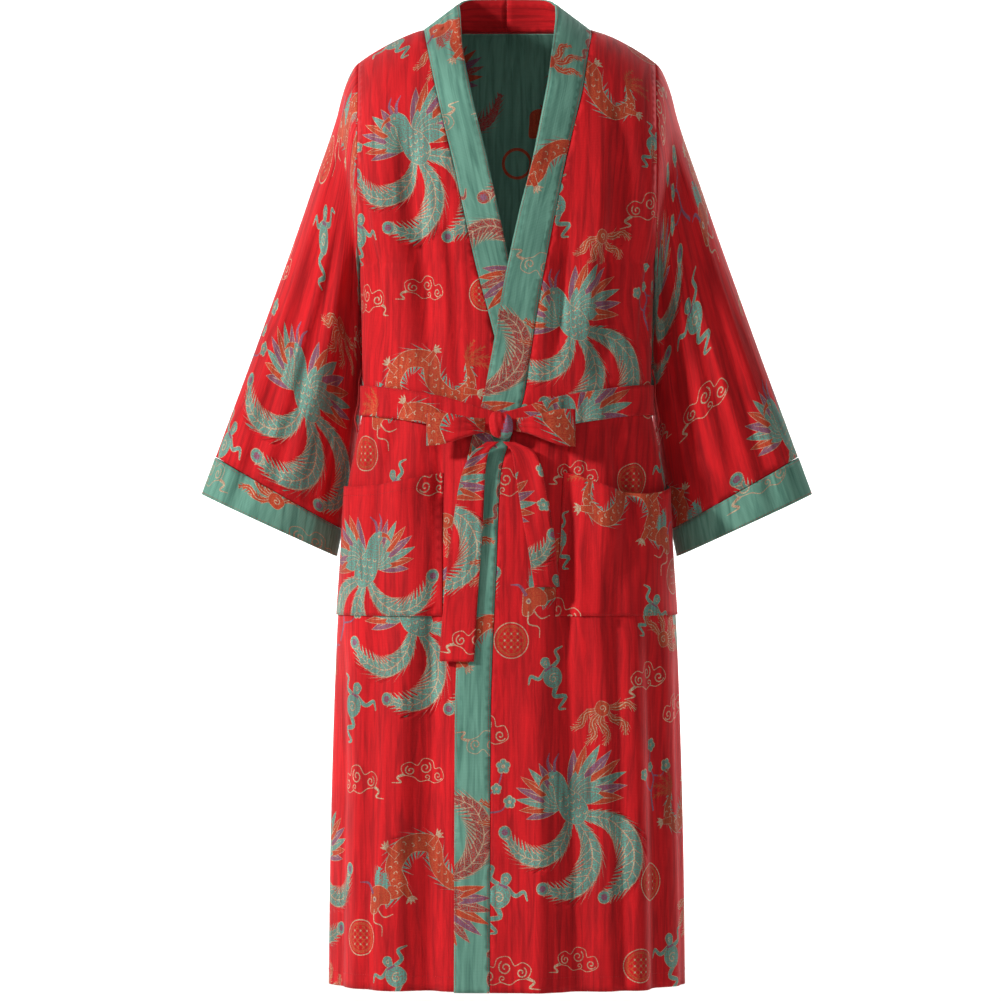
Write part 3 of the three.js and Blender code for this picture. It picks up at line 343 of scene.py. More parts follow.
def surface(station, z, off=0.0):
    x, y, out_x, out_y = ring_point(station, z)
    roof = np.where(y < 0, ROOF_FRONT, ROOF_BACK)
    below = np.clip((ridge(x) - z) / roof, 0, 1)
    rounded = np.sqrt(1 - (1 - below) ** 2)
    half_gap = GAP * 0.6
    side = np.where(y < 0, -1.0, 1.0)
    y = side * (half_gap + np.clip(np.abs(y) - half_gap, 0, None) * rounded)
    inside = smooth((SHOULDER_HALF - np.abs(x)) / 25)
    out = fold_depth(station, z) * np.maximum(inside, smooth((UNDERARM - z) / 90)) + off
    return np.stack([x + out_x * out, y + out_y * out, z + 0 * x], -1)


# %% [markdown]
# Each cut piece is a grid of points on that form: so far across, so far down. From the
# grid come the piece's flat coordinates in millimetres, as on a cutting table: u across
# the grain and v down it. The figures are drawn flat, in u and v, and carried over.

# %% Panels of the body
EDGE_GAP = 0.0002
SLOPE_END = -200.0


def slope(level):
    return 1 - smooth(level / SLOPE_END)


def side_station(z, left, on_front):
    seam = (0.0 if on_front else 1.0) if left else 0.5
    turn = 1 if on_front == left else -1
    open_here = station_at(SHOULDER_HALF if left else -SHOULDER_HALF, z, on_front)
    return np.where(z <= UNDERARM, seam + turn * EDGE_GAP, open_here)


def seam_x(z, left):
    return edges[left]["seam"](z) * (1 if left else -1)


def lap_offset(x, z, left):
    near = smooth((LAP_FROM - (x if left else -x)) / (LAP_FROM - LAP_FULL))
    return near * (lap["over"](z) if left else lap["under"](z))


def front_point(share, z, left, off=0.0):
    side = side_station(z, left, True)
    station = mix(side, station_at(seam_x(z, left), z, True), share)
    x = ring_point(station, z)[0]
    return surface(station, z, off + lap_offset(x, z, left))


def front_grid(share, level, left):
    z = level + ridge(mix(SHOULDER_HALF, NECK_HALF, share)) * slope(level)
    return front_point(share, z, left)


def back_station(share, z):
    return mix(side_station(z, False, False), side_station(z, True, False), share)


def back_grid(share, level):
    x = ring_point(back_station(share, np.zeros_like(share)), np.zeros_like(share))[0]
    top = np.where(np.abs(x) < NECK_HALF - 0.5, neckline(x), ridge(x))
    z = level + top * slope(level)
    return surface(back_station(share, z), z)


# %% Bands, pockets and sleeves
BAND_PROUD = 0.6
BAND_FREE = -150.0


def band_front(across, level, left):
    sign = 1 if left else -1
    edge = edges[left]
    seam = front_point(np.ones_like(level), np.minimum(level, -0.5), left)
    top = level > -0.6
    seam = np.where(top[..., None], np.array([sign * NECK_HALF, 0, 0.0]), seam)
    proud = BAND_PROUD * smooth(-level / 60)
    x = seam_x(level, left) - sign * edge["reach"](level)
    z = level + edge["rise"](level)
    free = surface(station_at(x, z, True), z, lap_offset(x, z, left) + proud)
    lies = smooth((-level - 60) / 120)
    free[..., 1] = mix(seam[..., 1], free[..., 1], lies) - edge["forward"](level)
    way = free - seam
    way /= np.linalg.norm(way, axis=-1, keepdims=True)
    start = seam + way * GAP * 1.2
    line = mix(start, free, across[..., None])
    line[..., 1] -= proud * (1 - across) + 1.5 * np.sin(np.pi * across) * (1 - lies * 0.6)
    on_x = mix(start[..., 0], x, across)
    on_z = mix(level, z, across)
    on = surface(station_at(on_x, on_z, True), on_z, lap_offset(on_x, on_z, left) + proud)
    on[..., 1] -= edge["forward"](level) * across
    on[..., 0] = on_x
    return mix(line, on, smooth((BAND_FREE - level) / 120)[..., None])


def band_back(across, along, left):
    sign = 1 if left else -1
    side_x = NECK_HALF * (1 - along)
    share = back_station_share(sign * side_x)
    seam = back_grid(share, np.zeros_like(share))
    x = np.abs(seam[..., 0])
    seam[..., 0] = sign * np.maximum(x, 0.02)
    free = np.stack(
        [
            sign * np.maximum(x - stand["reach"](x), 0.02),
            seam[..., 1] + stand["lean"](x),
            seam[..., 2] + stand["rise"](x),
        ],
        -1,
    )
    way = free - seam
    way /= np.linalg.norm(way, axis=-1, keepdims=True)
    point = mix(seam + way * GAP * 1.4, free, across[..., None])
    point[..., 1] += 1.5 * np.sin(np.pi * across)
    return point


def back_station_share(x):
    zero = np.zeros_like(x)
    wide = back_station(np.ones(1), np.zeros(1)) - back_station(np.zeros(1), np.zeros(1))
    return (station_at(x, zero, False) - back_station(np.zeros(1), np.zeros(1))) / wide


def share_of(x, z, left):
    side = side_station(np.array([z]), left, True)
    there = station_at(np.array([x]), np.array([z]), True)
    seam = station_at(seam_x(np.array([z]), left), np.array([z]), True)
    return float(((there - side) / (seam - side))[0])


POCKET_TOP = -556.0
POCKET_BOTTOM = -730.0
POCKET_OUTER = 0.04
# inner edge at top and bottom, mouth at its inner and outer end, sag, gape
POCKETS = {True: (70.0, 59.5, -553.0, -569.0, 18.0, 12.0), False: (-80.5, -80.5, -554.0, -571.0, 6.0, 12.0)}


def pocket_grid(across, down, left):
    inner_top, inner_bottom, mouth_in, mouth_out, sag, gape = POCKETS[left]
    top = share_of(inner_top, POCKET_TOP, left)
    bottom = share_of(inner_bottom, POCKET_BOTTOM, left)
    mouth = mix(mouth_out, mouth_in, across) - sag * np.sin(np.pi * across) ** 1.5
    z = mix(mouth, POCKET_BOTTOM, down)
    inner = mix(top, bottom, np.clip((POCKET_TOP - z) / (POCKET_TOP - POCKET_BOTTOM), 0, 1))
    share = mix(POCKET_OUTER, inner, across)
    gap_now = gape * (1 - down) ** 1.6 * np.clip(np.sin(np.pi * across), 0, 1) ** 0.8
    return front_point(share, z, left, GAP + 2.0 + gap_now)


def sleeve_fold(at, across, face):
    total = np.zeros(at.shape)
    for side, place, wide, deep, start, end in SLEEVE_FOLDS + SLEEVE_CREASES:
        off = (across - place) / wide
        fade = smooth((at - start) / 0.2) * smooth((end - at) / 0.2)
        total = total + np.where(face == side, deep * fade * np.exp(-1.5 * off * off), 0)
    return total


def sleeve_grid(share, at, left, proud=0.0):
    turn = (share - 0.5) * 2 * np.pi
    across = np.cos(turn)
    face = np.where(np.sin(turn) >= 0, 1, -1)
    inward = (1 - across) / 2
    spread = mix(0.5, mix(0.5, 0.8, sleeve["crease"](at)), smooth((across + 0.2) / 1.2))
    lens = np.abs(np.sin(turn)) ** (2 * spread) * sleeve["depth"](at)
    z = mix(sleeve["outerZ"](at), sleeve["innerZ"](at), inward)
    hole = mix(SLEEVE["outerZ"][0], SLEEVE["innerZ"][0], inward)
    front = surface(station_at(SHOULDER_HALF, hole, True), hole)[..., 1]
    rear = surface(station_at(SHOULDER_HALF, hole, False), hole)[..., 1]
    armhole = np.where(face > 0, np.abs(front), np.abs(rear))
    depth = mix(armhole, lens, smooth(at / 0.12)) + proud
    back = sleeve["back"](at) * mix(0.35, 1, inward)
    fold = sleeve_fold(at, across, face) * np.abs(np.sin(turn))
    x = mix(sleeve["outerX"](at), sleeve["innerX"](at), inward) + proud * across
    return np.stack([(1 if left else -1) * x, back - face * (depth + fold), z], -1)


# %% Flat coordinates
class Piece:
    """A grid of points, rows down and columns across, with its flat coordinates.

    u runs across: it is measured from the middle, or from start where that is given, so
    that lines of one u stay straight on the worn cloth. v is the length down the piece.
    """

    def __init__(self, grid, outward, start=None):
        self.grid = grid
        self.rows, self.cols = grid.shape[:2]
        steps = np.linalg.norm(np.diff(grid, axis=0), axis=2).mean(1)
        self.v = np.concatenate([[0], np.cumsum(steps)])
        self.wide = np.linalg.norm(np.diff(grid, axis=1), axis=2).sum(1)
        self.start = -self.wide / 2 if start is None else start
        self.aim = 1 if start is None else -outward
        normal = np.cross(np.gradient(grid, axis=1), np.gradient(grid, axis=0)) * outward
        self.normal = normal / np.maximum(np.linalg.norm(normal, axis=2, keepdims=True), 1e-9)

    def index(self, u, v):
        row = np.interp(v, self.v, np.arange(self.rows))
        share = (u - np.interp(v, self.v, self.start)) / np.interp(v, self.v, self.wide) * self.aim
        return np.clip(row, 0, self.rows - 1.0001), np.clip(share, 0, 1) * (self.cols - 1.0001)

    def place(self, u, v):
        row, col = self.index(u, v)
        i = row.astype(int)
        j = col.astype(int)
        fi = (row - i)[:, None]
        fj = (col - j)[:, None]
        parts = []
        for table in (self.grid, self.normal):
            a = mix(table[i, j], table[i, j + 1], fj)
            b = mix(table[i + 1, j], table[i + 1, j + 1], fj)
            parts.append(mix(a, b, fi))
        parts[1] /= np.linalg.norm(parts[1], axis=1, keepdims=True)
        return parts

    def edges(self, v):
        a = np.interp(v, self.v, self.start)
        b = a + self.aim * np.interp(v, self.v, self.wide)
        return np.minimum(a, b), np.maximum(a, b)

    def outline(self, step):
        v = np.linspace(0, self.v[-1], max(2, int(self.v[-1] / step)) + 1)
        low, high = self.edges(v)
        end = np.linspace(high[-1], low[-1], max(2, int((high[-1] - low[-1]) / step)) + 1)[1:-1]
        top = np.linspace(low[0], high[0], max(2, int((high[0] - low[0]) / step)) + 1)[1:-1]
        there = list(zip(high, v)) + [(x, v[-1]) for x in end]
        return there + list(zip(low[::-1], v[::-1])) + [(x, 0.0) for x in top]

    def area(self):
        middle = (self.wide[1:] + self.wide[:-1]) / 2
        return float((middle * np.diff(self.v)).sum()) * 1e-6


def grid_of(rule, rows, cols):
    level, share = np.meshgrid(rows, np.linspace(0, 1, cols), indexing="ij")
    return rule(share, level)


def level_rows(top_turns, end, many):
    turn = np.radians(np.linspace(0, 84, top_turns))
    roof = -ROOF_BACK * (1 - np.cos(turn))
    return np.concatenate([roof, np.linspace(roof[-1], end, many)[1:]])


# %% [markdown]
# Now a piece becomes a mesh. Its outline, a loose grid of inner points and the figures'
# edges are joined into triangles on the flat, so that no figure has a stepped edge. A
# copy moved in by the cloth's thickness and a rim round the edge close the shell.

# %% From a flat drawing to a closed shell
INKS = ["ground", "jade", "rust", "cream", "plum"]


def turned(shape):
    """The same outline, turned to run anticlockwise."""
    shape = np.asarray(shape, float)
    x, y = shape[:, 0], shape[:, 1]
    area = (x * np.roll(y, -1) - y * np.roll(x, -1)).sum()
    return shape if area > 0 else shape[::-1]


def flat_mesh(piece, outline, figures, step):
    """Triangles inside an outline, with every figure cut in: points, faces, inks, and
    the number that each point of the outline has among the points."""
    outline = turned(outline)
    points = [tuple(p) for p in outline.tolist()]
    faces = [list(range(len(outline)))]
    left, right = piece.edges(piece.v)
    left, right = float(left.min()), float(right.max())
    v, row = step, 0
    while v < piece.v[-1] - step * 0.6:
        low, high = piece.edges(v)
        across = np.arange(left + (step / 2 if row % 2 else 0), right, step)
        inside = (across > low + step * 0.6) & (across < high - step * 0.6)
        points += [(float(u), v) for u in across[inside]]
        v += step * 0.87
        row += 1
    inks = [0]
    for ink, shape in figures:
        shape = turned(shape)
        low = shape.min(0)
        high = shape.max(0)
        if high[0] < left or low[0] > right or high[1] < 0 or low[1] > piece.v[-1]:
            continue
        faces.append(list(range(len(points), len(points) + len(shape))))
        points += [(float(x), float(y)) for x, y in shape]
        inks.append(INKS.index(ink))
    made = geometry.delaunay_2d_cdt([Vector(p) for p in points], [], faces, 0, 1e-3, True)
    corners = np.array([tuple(p) for p in made[0]])
    keep = []
    colours = []
    for face, lies_in in zip(made[2], made[5]):
        if 0 in lies_in:
            keep.append(face)
            colours.append(inks[max(lies_in)])
    number = {put_in: k for k, all_in in enumerate(made[3]) for put_in in all_in}
    return corners, np.array(keep), np.array(colours), number


def rim_of(faces):
    """The points round the edge of a flat mesh, in order."""
    pairs = np.concatenate([faces[:, [0, 1]], faces[:, [1, 2]], faces[:, [2, 0]]])
    known = {(int(p), int(q)) for p, q in pairs}
    after = {p: q for p, q in known if (q, p) not in known}
    ring = [next(iter(after))]
    while after[ring[-1]] != ring[0]:
        ring.append(after[ring[-1]])
    return ring


LEAST_BEHIND = 300.0  # the smallest outline, in square mm, that a plainer reverse shows
EDGE_CLEAR = 2.0  # how far inside the piece it has to lie


def large_inside(piece, figures):
    """The larger outlines of the figures that lie wholly inside a piece."""
    found = []
    for ink, shape in figures:
        shape = turned(shape)
        x, y = shape[:, 0], shape[:, 1]
        size = (x * np.roll(y, -1) - np.roll(x, -1) * y).sum() / 2
        low, high = piece.edges(np.clip(y, 0, piece.v[-1]))
        inside = (x > low + EDGE_CLEAR) & (x < high - EDGE_CLEAR)
        inside &= (y > EDGE_CLEAR) & (y < piece.v[-1] - EDGE_CLEAR)
        if ink != "cream" and size > LEAST_BEHIND and inside.all():
            found.append((ink, shape))
    return found


def mesh_object(name, points, faces, slots, materials, uv=None):
    mesh = bpy.data.meshes.new(name)
    mesh.from_pydata([tuple(p) for p in points * MM], [], [list(map(int, f)) for f in faces])
    for material in materials:
        mesh.materials.append(material)
    mesh.polygons.foreach_set("material_index", np.asarray(slots, np.int32))
    mesh.polygons.foreach_set("use_smooth", np.ones(len(faces), bool))
    if uv is not None:
        layer = mesh.uv_layers.new(name="cloth")
        loops = np.empty(len(mesh.loops), np.int32)
        mesh.loops.foreach_get("vertex_index", loops)
        layer.data.foreach_set("uv", (uv[loops] * MM).ravel())
    mesh.validate()
    made = bpy.data.objects.new(name, mesh)
    bpy.context.collection.objects.link(made)
    return made


STEP = 7.0  # side of the triangles that carry the folds
BACK_STEP = 8.5  # a little more on the back, which is the largest piece


def shell(name, piece, figures, front, back, thick=CLOTH, step=STEP, plainer=False):
    """A closed shell: the face with its figures, the reverse behind it, and the rim."""
    flat, faces, inks, _ = flat_mesh(piece, piece.outline(step), figures, step)
    ring = rim_of(faces)
    under, under_faces, under_inks, under_ring = flat, faces, inks, ring
    if plainer:
        large = large_inside(piece, figures)
        under, under_faces, under_inks, number = flat_mesh(piece, flat[ring], large, step)
        under_ring = [number[k] for k in range(len(ring))]
    outer, normal = piece.place(flat[:, 0], flat[:, 1])
    inner, inner_normal = piece.place(under[:, 0], under[:, 1])
    inner = inner - inner_normal * thick
    many = len(outer)
    all_faces = [list(f) for f in faces] + [list(f[::-1] + many) for f in under_faces]
    for k, p in enumerate(ring):
        q = ring[(k + 1) % len(ring)]
        below_p, below_q = under_ring[k] + many, under_ring[(k + 1) % len(ring)] + many
        all_faces.append([q, p, below_p, below_q])
    a, b, c = (outer[faces[:, k]] for k in range(3))
    if (np.cross(b - a, c - a) * normal[faces[:, 0]]).sum() < 0:
        all_faces = [f[::-1] for f in all_faces]
    slots = np.concatenate([inks, under_inks + len(front), np.full(len(ring), 0)])
    points = np.concatenate([outer, inner])
    uv = np.concatenate([flat, under])
    made = mesh_object(name, points, all_faces, slots, front + back, uv)
    print(name, "triangles", len(faces) + len(under_faces) + 2 * len(ring))
    return made


# %% [markdown]
# The cloth is a jacquard: one set of threads makes the red ground, others the figures,
# and the same threads trade places on the reverse, where the ground comes out green.
# All of it is crinkled along its length, so every material shares one relief: long
# narrow crinkles a few millimetres apart, and the grain of the threads on top of them.
# The colour is also painted darker in the crinkles' troughs, as painted shade, on top of that relief.

# %% Materials of the cloth
def colour(code):
    parts = [int(code[i:i + 2], 16) / 255 for i in (1, 3, 5)]
    linear = [c / 12.92 if c <= 0.04045 else ((c + 0.055) / 1.055) ** 2.4 for c in parts]
    return (*linear, 1.0)


def add(tree, kind, sets=None, links=None, **settings):
    node = tree.nodes.new(kind)
    for key, value in settings.items():
        setattr(node, key, value)
    for key, value in (sets or {}).items():
        node.inputs[key].default_value = value
    for key, source in (links or {}).items():
        tree.links.new(source, node.inputs[key])
    return node


CRINKLE_ACROSS = 0.0065
CRINKLE_ALONG = 0.085
THREAD = 0.0009


def cloth(name, face, painted_trough_shade, fleck=None, rough=0.8, sheen=0.06, relief=1.0, uneven=0.1):
    material = bpy.data.materials.new(name)
    material.use_nodes = True
    tree = material.node_tree
    tree.nodes.clear()
    uv = add(tree, "ShaderNodeUVMap", uv_map="cloth").outputs["UV"]
    long_way = (1 / CRINKLE_ACROSS, 1 / CRINKLE_ALONG, 1)
    wide = add(tree, "ShaderNodeMapping", {"Scale": long_way}, {"Vector": uv})
    crinkle = add(
        tree, "ShaderNodeTexNoise", {"Scale": 1.0, "Detail": 3.0, "Roughness": 0.55, "Distortion": 0.6},
        {"Vector": wide.outputs["Vector"]},
    )
    soft = add(
        tree, "ShaderNodeTexNoise", {"Scale": 14.0, "Detail": 2.0, "Roughness": 0.5}, {"Vector": uv},
    )
    weft = add(
        tree, "ShaderNodeTexWave", {"Scale": 1 / THREAD / 6.283, "Distortion": 1.5, "Detail": 1.0},
        {"Vector": uv}, bands_direction="Y",
    )
    # Painted shade: the crinkle's height also sets the colour, the face colour on the ridges and a darker
    # colour in the troughs, besides the bump below.
    valley = add(
        tree, "ShaderNodeMapRange", {"From Min": 0.3, "From Max": 0.62}, {"Value": crinkle.outputs["Fac"]},
    )
    ramp = add(tree, "ShaderNodeValToRGB", links={"Fac": valley.outputs["Result"]})
    ramp.color_ramp.elements[0].color = colour(painted_trough_shade)
    ramp.color_ramp.elements[1].color = colour(face)
    ink = ramp.outputs["Color"]
    if fleck:
        dots = add(
            tree, "ShaderNodeTexNoise", {"Scale": 620.0, "Detail": 1.0, "Roughness": 0.5}, {"Vector": uv},
        )
        showing = add(
            tree, "ShaderNodeMapRange", {"From Min": 0.46, "From Max": 0.56, "To Max": 0.62},
            {"Value": dots.outputs["Fac"]},
        )
        mixed = add(tree, "ShaderNodeMix", data_type="RGBA")
        mixed.inputs[7].default_value = colour(fleck)
        tree.links.new(showing.outputs["Result"], mixed.inputs["Factor"])
        tree.links.new(ink, mixed.inputs[6])
        ink = mixed.outputs[2]
    vary = add(
        tree, "ShaderNodeMapRange",
        {"From Min": 0.25, "From Max": 0.75, "To Min": 1 - uneven, "To Max": 1 + uneven},
        {"Value": soft.outputs["Fac"]},
    )
    grain = add(
        tree, "ShaderNodeMapRange", {"To Min": 0.94, "To Max": 1.04}, {"Value": weft.outputs["Fac"]},
    )
    light = add(
        tree, "ShaderNodeMath", links={0: vary.outputs["Result"], 1: grain.outputs["Result"]},
        operation="MULTIPLY",
    )
    toned = add(
        tree, "ShaderNodeHueSaturation", links={"Color": ink, "Value": light.outputs["Value"]},
    )
    folds = add(
        tree, "ShaderNodeBump", {"Strength": 0.3 * relief, "Distance": 0.0022},
        {"Height": crinkle.outputs["Fac"]},
    )
    threads = add(
        tree, "ShaderNodeBump", {"Strength": 0.25, "Distance": 0.0003},
        {"Height": weft.outputs["Fac"], "Normal": folds.outputs["Normal"]},
    )
    finish = add(
        tree, "ShaderNodeBsdfPrincipled",
        {"Roughness": rough, "Sheen Weight": sheen, "Sheen Roughness": 0.45, "Specular IOR Level": 0.16},
        {"Base Color": toned.outputs["Color"], "Normal": threads.outputs["Normal"]},
    )
    add(tree, "ShaderNodeOutputMaterial", links={"Surface": finish.outputs["BSDF"]})
    return material


# The second colour of each is the painted shade in the troughs of the crinkle.
ground_red = cloth("crepe_red_ground", "#C4151C", "#960E15")
jade = cloth("crepe_jade_figure", "#5BA091", "#366F66", "#7E3A34", relief=0.8, uneven=0.25)
rust = cloth("crepe_rust_figure", "#B84E2E", "#87371F", "#A01A1A", relief=0.8, uneven=0.25)
cream = cloth("crepe_cream_outline", "#B8AB8E", "#887A62", "#9A3A2E", relief=0.7, uneven=0.25)
plum = cloth("crepe_plum_figure", "#7C6078", "#564052", "#8E222A", relief=0.8, uneven=0.25)
ground_green = cloth("crepe_green_ground", "#659382", "#456F61")
red_figure = cloth("crepe_red_figure", "#A82A2C", "#7C181A", "#5F786A", relief=0.8, uneven=0.25)
thread = cloth("sewing_thread_red", "#B82A2A", "#841818", rough=0.6)
RED_SIDE = [ground_red, jade, rust, cream, plum]
GREEN_SIDE = [ground_green, red_figure, rust, cream, plum]

# %% [markdown]
# The woven figures are drawn here from scratch, in millimetres, as an old repertoire of
# lucky signs: a phoenix with barbed plumes, a dragon, scroll clouds, roundels with a
# lattice, gourds on ribbons, flames and plum twigs. Each is a list of flat outlines with
# an ink, drawn over each other. A narrow cream outline under a shape gives it its edge.

# %% Pens
EDGE = 0.6  # the finest outline that the threads can draw, in drawing units


def curve(points, many=40, closed=False):
    """A smooth line through a few points."""
    p = np.asarray(points, float)
    p = np.vstack([p[-1:], p, p[:2]]) if closed else np.vstack([2 * p[0] - p[1], p, 2 * p[-1] - p[-2]])
    spans = len(p) - 3
    at = np.linspace(0, spans, many + 1)[:-1] if closed else np.linspace(0, spans, many)
    i = np.minimum(at.astype(int), spans - 1)
    t = (at - i)[:, None]
    a, b, c, d = p[i], p[i + 1], p[i + 2], p[i + 3]
    return 0.5 * (2 * b + (c - a) * t + (2 * a - 5 * b + 4 * c - d) * t**2 + (3 * b - a - 3 * c + d) * t**3)


def sideways(line):
    way = np.gradient(line, axis=0)
    way /= np.maximum(np.linalg.norm(way, axis=1, keepdims=True), 1e-9)
    return np.stack([-way[:, 1], way[:, 0]], 1)


def ribbon(points, widths, many=24):
    """A stroke along a smooth line, its width given at even steps."""
    line = curve(points, many)
    half = np.interp(np.linspace(0, 1, many), np.linspace(0, 1, len(widths)), widths)[:, None] / 2
    side = sideways(line) * half
    return np.vstack([line + side, (line - side)[::-1]])


def grow(shape, by):
    shape = turned(shape)
    way = np.roll(shape, -1, 0) - np.roll(shape, 1, 0)
    way /= np.maximum(np.linalg.norm(way, axis=1, keepdims=True), 1e-9)
    return shape + np.stack([way[:, 1], -way[:, 0]], 1) * by


def edged(ink, shape, by=1.0):
    return [("cream", grow(shape, by * EDGE)), (ink, shape)]


def ring_line(x, y, radius, many=28):
    turn = np.linspace(0, 2 * np.pi, many, endpoint=False)
    return np.stack([x + radius * np.cos(turn), y + radius * np.sin(turn)], 1)


def scroll(x, y, radius, start, turns, wide=1.6, many=18):
    """A stroke that winds in to its middle."""
    t = np.linspace(0, 1, many)
    r = radius * (1 - 0.82 * t)
    a = math.radians(start) + turns * 2 * np.pi * t
    line = np.stack([x + r * np.cos(a), y + r * np.sin(a)], 1)
    side = sideways(line) * wide / 2
    return np.vstack([line + side, (line - side)[::-1]])


def leaf(x, y, angle, long, wide, bend=0.0, many=9):
    """A pointed blade from its root outwards."""
    t = np.linspace(0, 1, many)
    half = wide / 2 * np.sin(np.pi * t**0.8) ** 0.9
    line = np.stack([long * t, bend * long * t**2], 1)
    side = sideways(line) * half[:, None]
    shape = np.vstack([line + side, (line - side)[::-1][1:-1]])
    a = math.radians(angle)
    turn = np.array([[math.cos(a), math.sin(a)], [-math.sin(a), math.cos(a)]])
    return shape @ turn + [x, y]


def comb(points, width, pitch=4.6, core=0.3, sweep=1.1, taper=(0.35, 1.0, 0.9, 0.25)):
    """A plume: a smooth spine with swept barbs down both sides."""
    line = curve(points, 160)
    run = np.concatenate([[0], np.cumsum(np.linalg.norm(np.diff(line, axis=0), axis=1))])
    many = max(6, int(run[-1] / pitch))
    side = sideways(line)
    edges = []
    for sign in (1, -1):
        edge = []
        for k in range(many):
            share = (k + 0.5) / many
            reach = width / 2 * np.interp(share, np.linspace(0, 1, len(taper)), taper)
            root = share * run[-1]
            tip = min(run[-1], root + reach * sweep)
            for at, out in ((root - pitch * 0.28, core), (tip, 1.0), (root + pitch * 0.3, core)):
                at = np.clip(at, 0, run[-1])
                here = [np.interp(at, run, line[:, n]) for n in (0, 1)]
                aside = [np.interp(at, run, side[:, n]) for n in (0, 1)]
                edge.append([here[n] + sign * aside[n] * reach * out for n in (0, 1)])
        edges.append(edge)
    return np.array([line[0].tolist()] + edges[0] + [line[-1].tolist()] + edges[1][::-1])


def plume(points, width, ink="jade", shaft="cream"):
    edge = comb(points, width + 2.6, 6.6, 0.52)
    spine = ribbon(points, (0.8, 1.5, 1.2, 0.6), 20)
    veins = []
    line = curve(points, 26)
    side = sideways(line)
    for k in range(3, 24, 2):
        for sign in (1, -1):
            root = line[k]
            ahead = line[min(25, k + 2)] - line[k]
            tip = root + sign * side[k] * width * 0.24 + ahead * 0.7
            veins.append((shaft, ribbon([root, (root + tip) / 2 + ahead * 0.06, tip], (0.9, 0.9, 0.4), 3)))
    return [(shaft, edge), (ink, comb(points, width, 6.6, 0.46)), (shaft, spine)] + veins


# %% Figures
def cloud():
    lobes = curve(
        [(-34, -6), (-28, 8), (-17, 6), (-12, 17), (2, 19), (10, 8), (21, 12), (31, 5), (27, -6),
         (14, -9), (4, -15), (-8, -12), (-20, -15)], 66, True,
    )
    tail = ribbon([(25, -6), (36, -12), (30, -19), (44, -21)], (4.5, 3, 2.4, 0.8), 18)
    drawn = [("cream", tail)] + edged("ground", lobes, 1.7)
    drawn += [("cream", scroll(-24, -4, 7.5, 200, 1.3))]
    drawn += [("cream", scroll(-2, 6, 9.5, 120, 1.4))]
    drawn += [("cream", scroll(19, 0, 7.5, 60, -1.3))]
    drawn += [("cream", scroll(-6, -8, 4.6, 250, -1.1, 1.3, 18))]
    return drawn


def roundel(ink="rust"):
    drawn = [("cream", ring_line(0, 0, 24, 40)), ("ground", ring_line(0, 0, 22.6, 40))]
    drawn += [(ink, ring_line(0, 0, 20.6, 36)), ("ground", ring_line(0, 0, 16.8, 32))]
    for k in range(-2, 3):
        for flip in (1, -1):
            reach = math.sqrt(max(0, 15.6**2 - (k * 6.2) ** 2))
            a = np.array([-reach, k * 6.2])
            b = np.array([reach, k * 6.2])
            turn = np.array([[1, flip], [-flip, 1]]) / math.sqrt(2)
            drawn.append((ink, ribbon([a @ turn, b @ turn], (1.9, 1.9), 3)))
    drawn += [("cream", ring_line(x, y, 1.3, 8)) for x in (-8.8, 0, 8.8) for y in (-8.8, 0, 8.8)]
    return drawn


def gourd():
    body_line = curve(
        [(0, 31), (6, 27), (5, 20), (3.5, 16), (11, 10), (13, 0), (8, -9), (0, -12), (-8, -9),
         (-13, 0), (-11, 10), (-3.5, 16), (-5, 20), (-6, 27)], 48, True,
    )
    hanging = [(2, -8), (-10, -20), (4, -30), (-12, -38), (-4, -44)]
    drawn = edged("jade", ribbon(hanging, (6, 5, 4.5, 3, 0.8)))
    drawn += edged("jade", ribbon([(4, 14), (18, 18), (20, 30), (32, 30)], (5, 4, 3.5, 0.8)))
    drawn += edged("jade", ribbon([(-4, 15), (-18, 10), (-26, 18), (-34, 10)], (5, 4, 3.5, 0.8)))
    drawn += edged("jade", body_line)
    drawn += [("plum", ribbon([(-6, 15), (6, 15)], (3, 3), 3))]
    drawn += [("cream", scroll(0, 0, 7.0, 30, 1.2, 1.5, 20))]
    drawn += [("cream", scroll(0, 23, 3.2, 30, 1.1, 1.1, 12))]
    return drawn


def flame(ink="rust"):
    tongues = [
        [(0, 0), (10, 14), (4, 30), (16, 44)], [(4, 0), (20, 10), (22, 26), (38, 34)],
        [(-4, 0), (-8, 16), (-22, 24), (-18, 42)], [(6, -2), (24, -4), (34, 8), (50, 8)],
        [(-6, -2), (-22, 4), (-34, 2), (-42, 16)],
    ]
    drawn = []
    for line in tongues:
        drawn += [("cream", comb(line, 17.5, 6.0, 0.5, 1.2)), (ink, comb(line, 15, 6.0, 0.45, 1.2))]
        drawn += [("cream", ribbon(line, (0.8, 1.3, 0.6), 16))]
    drawn += edged(ink, curve([(-9, -4), (-4, 6), (6, 6), (11, -4), (2, -13)], 24, True))
    drawn += [("cream", scroll(1, -3, 5, 90, 1.2, 1.3, 16))]
    return drawn


def twig():
    stem = [(-30, -26), (-12, -12), (-4, 6), (14, 14), (28, 32)]
    drawn = [("plum", ribbon(stem, (3.6, 3.2, 2.4, 1.6), 30))]
    drawn += [("plum", ribbon([(-10, -10), (8, -14), (20, -8)], (2.4, 1.8, 1.0), 12))]
    drawn += [("plum", ribbon([(0, 8), (-12, 18), (-10, 30)], (2.4, 1.8, 1.0), 12))]
    for x, y, size in ((22, -8, 7), (-10, 32, 8), (29, 34, 8), (12, 12, 6)):
        out = size * 0.62
        petals = [(x + out * math.cos(a), y + out * math.sin(a)) for a in np.arange(5) * 1.2566]
        drawn += [("cream", ring_line(px, py, size * 0.55, 12)) for px, py in petals]
        drawn += [("jade", ring_line(px, py, size * 0.4, 10)) for px, py in petals]
        drawn += [("cream", ring_line(x, y, size * 0.3, 10))]
    return drawn


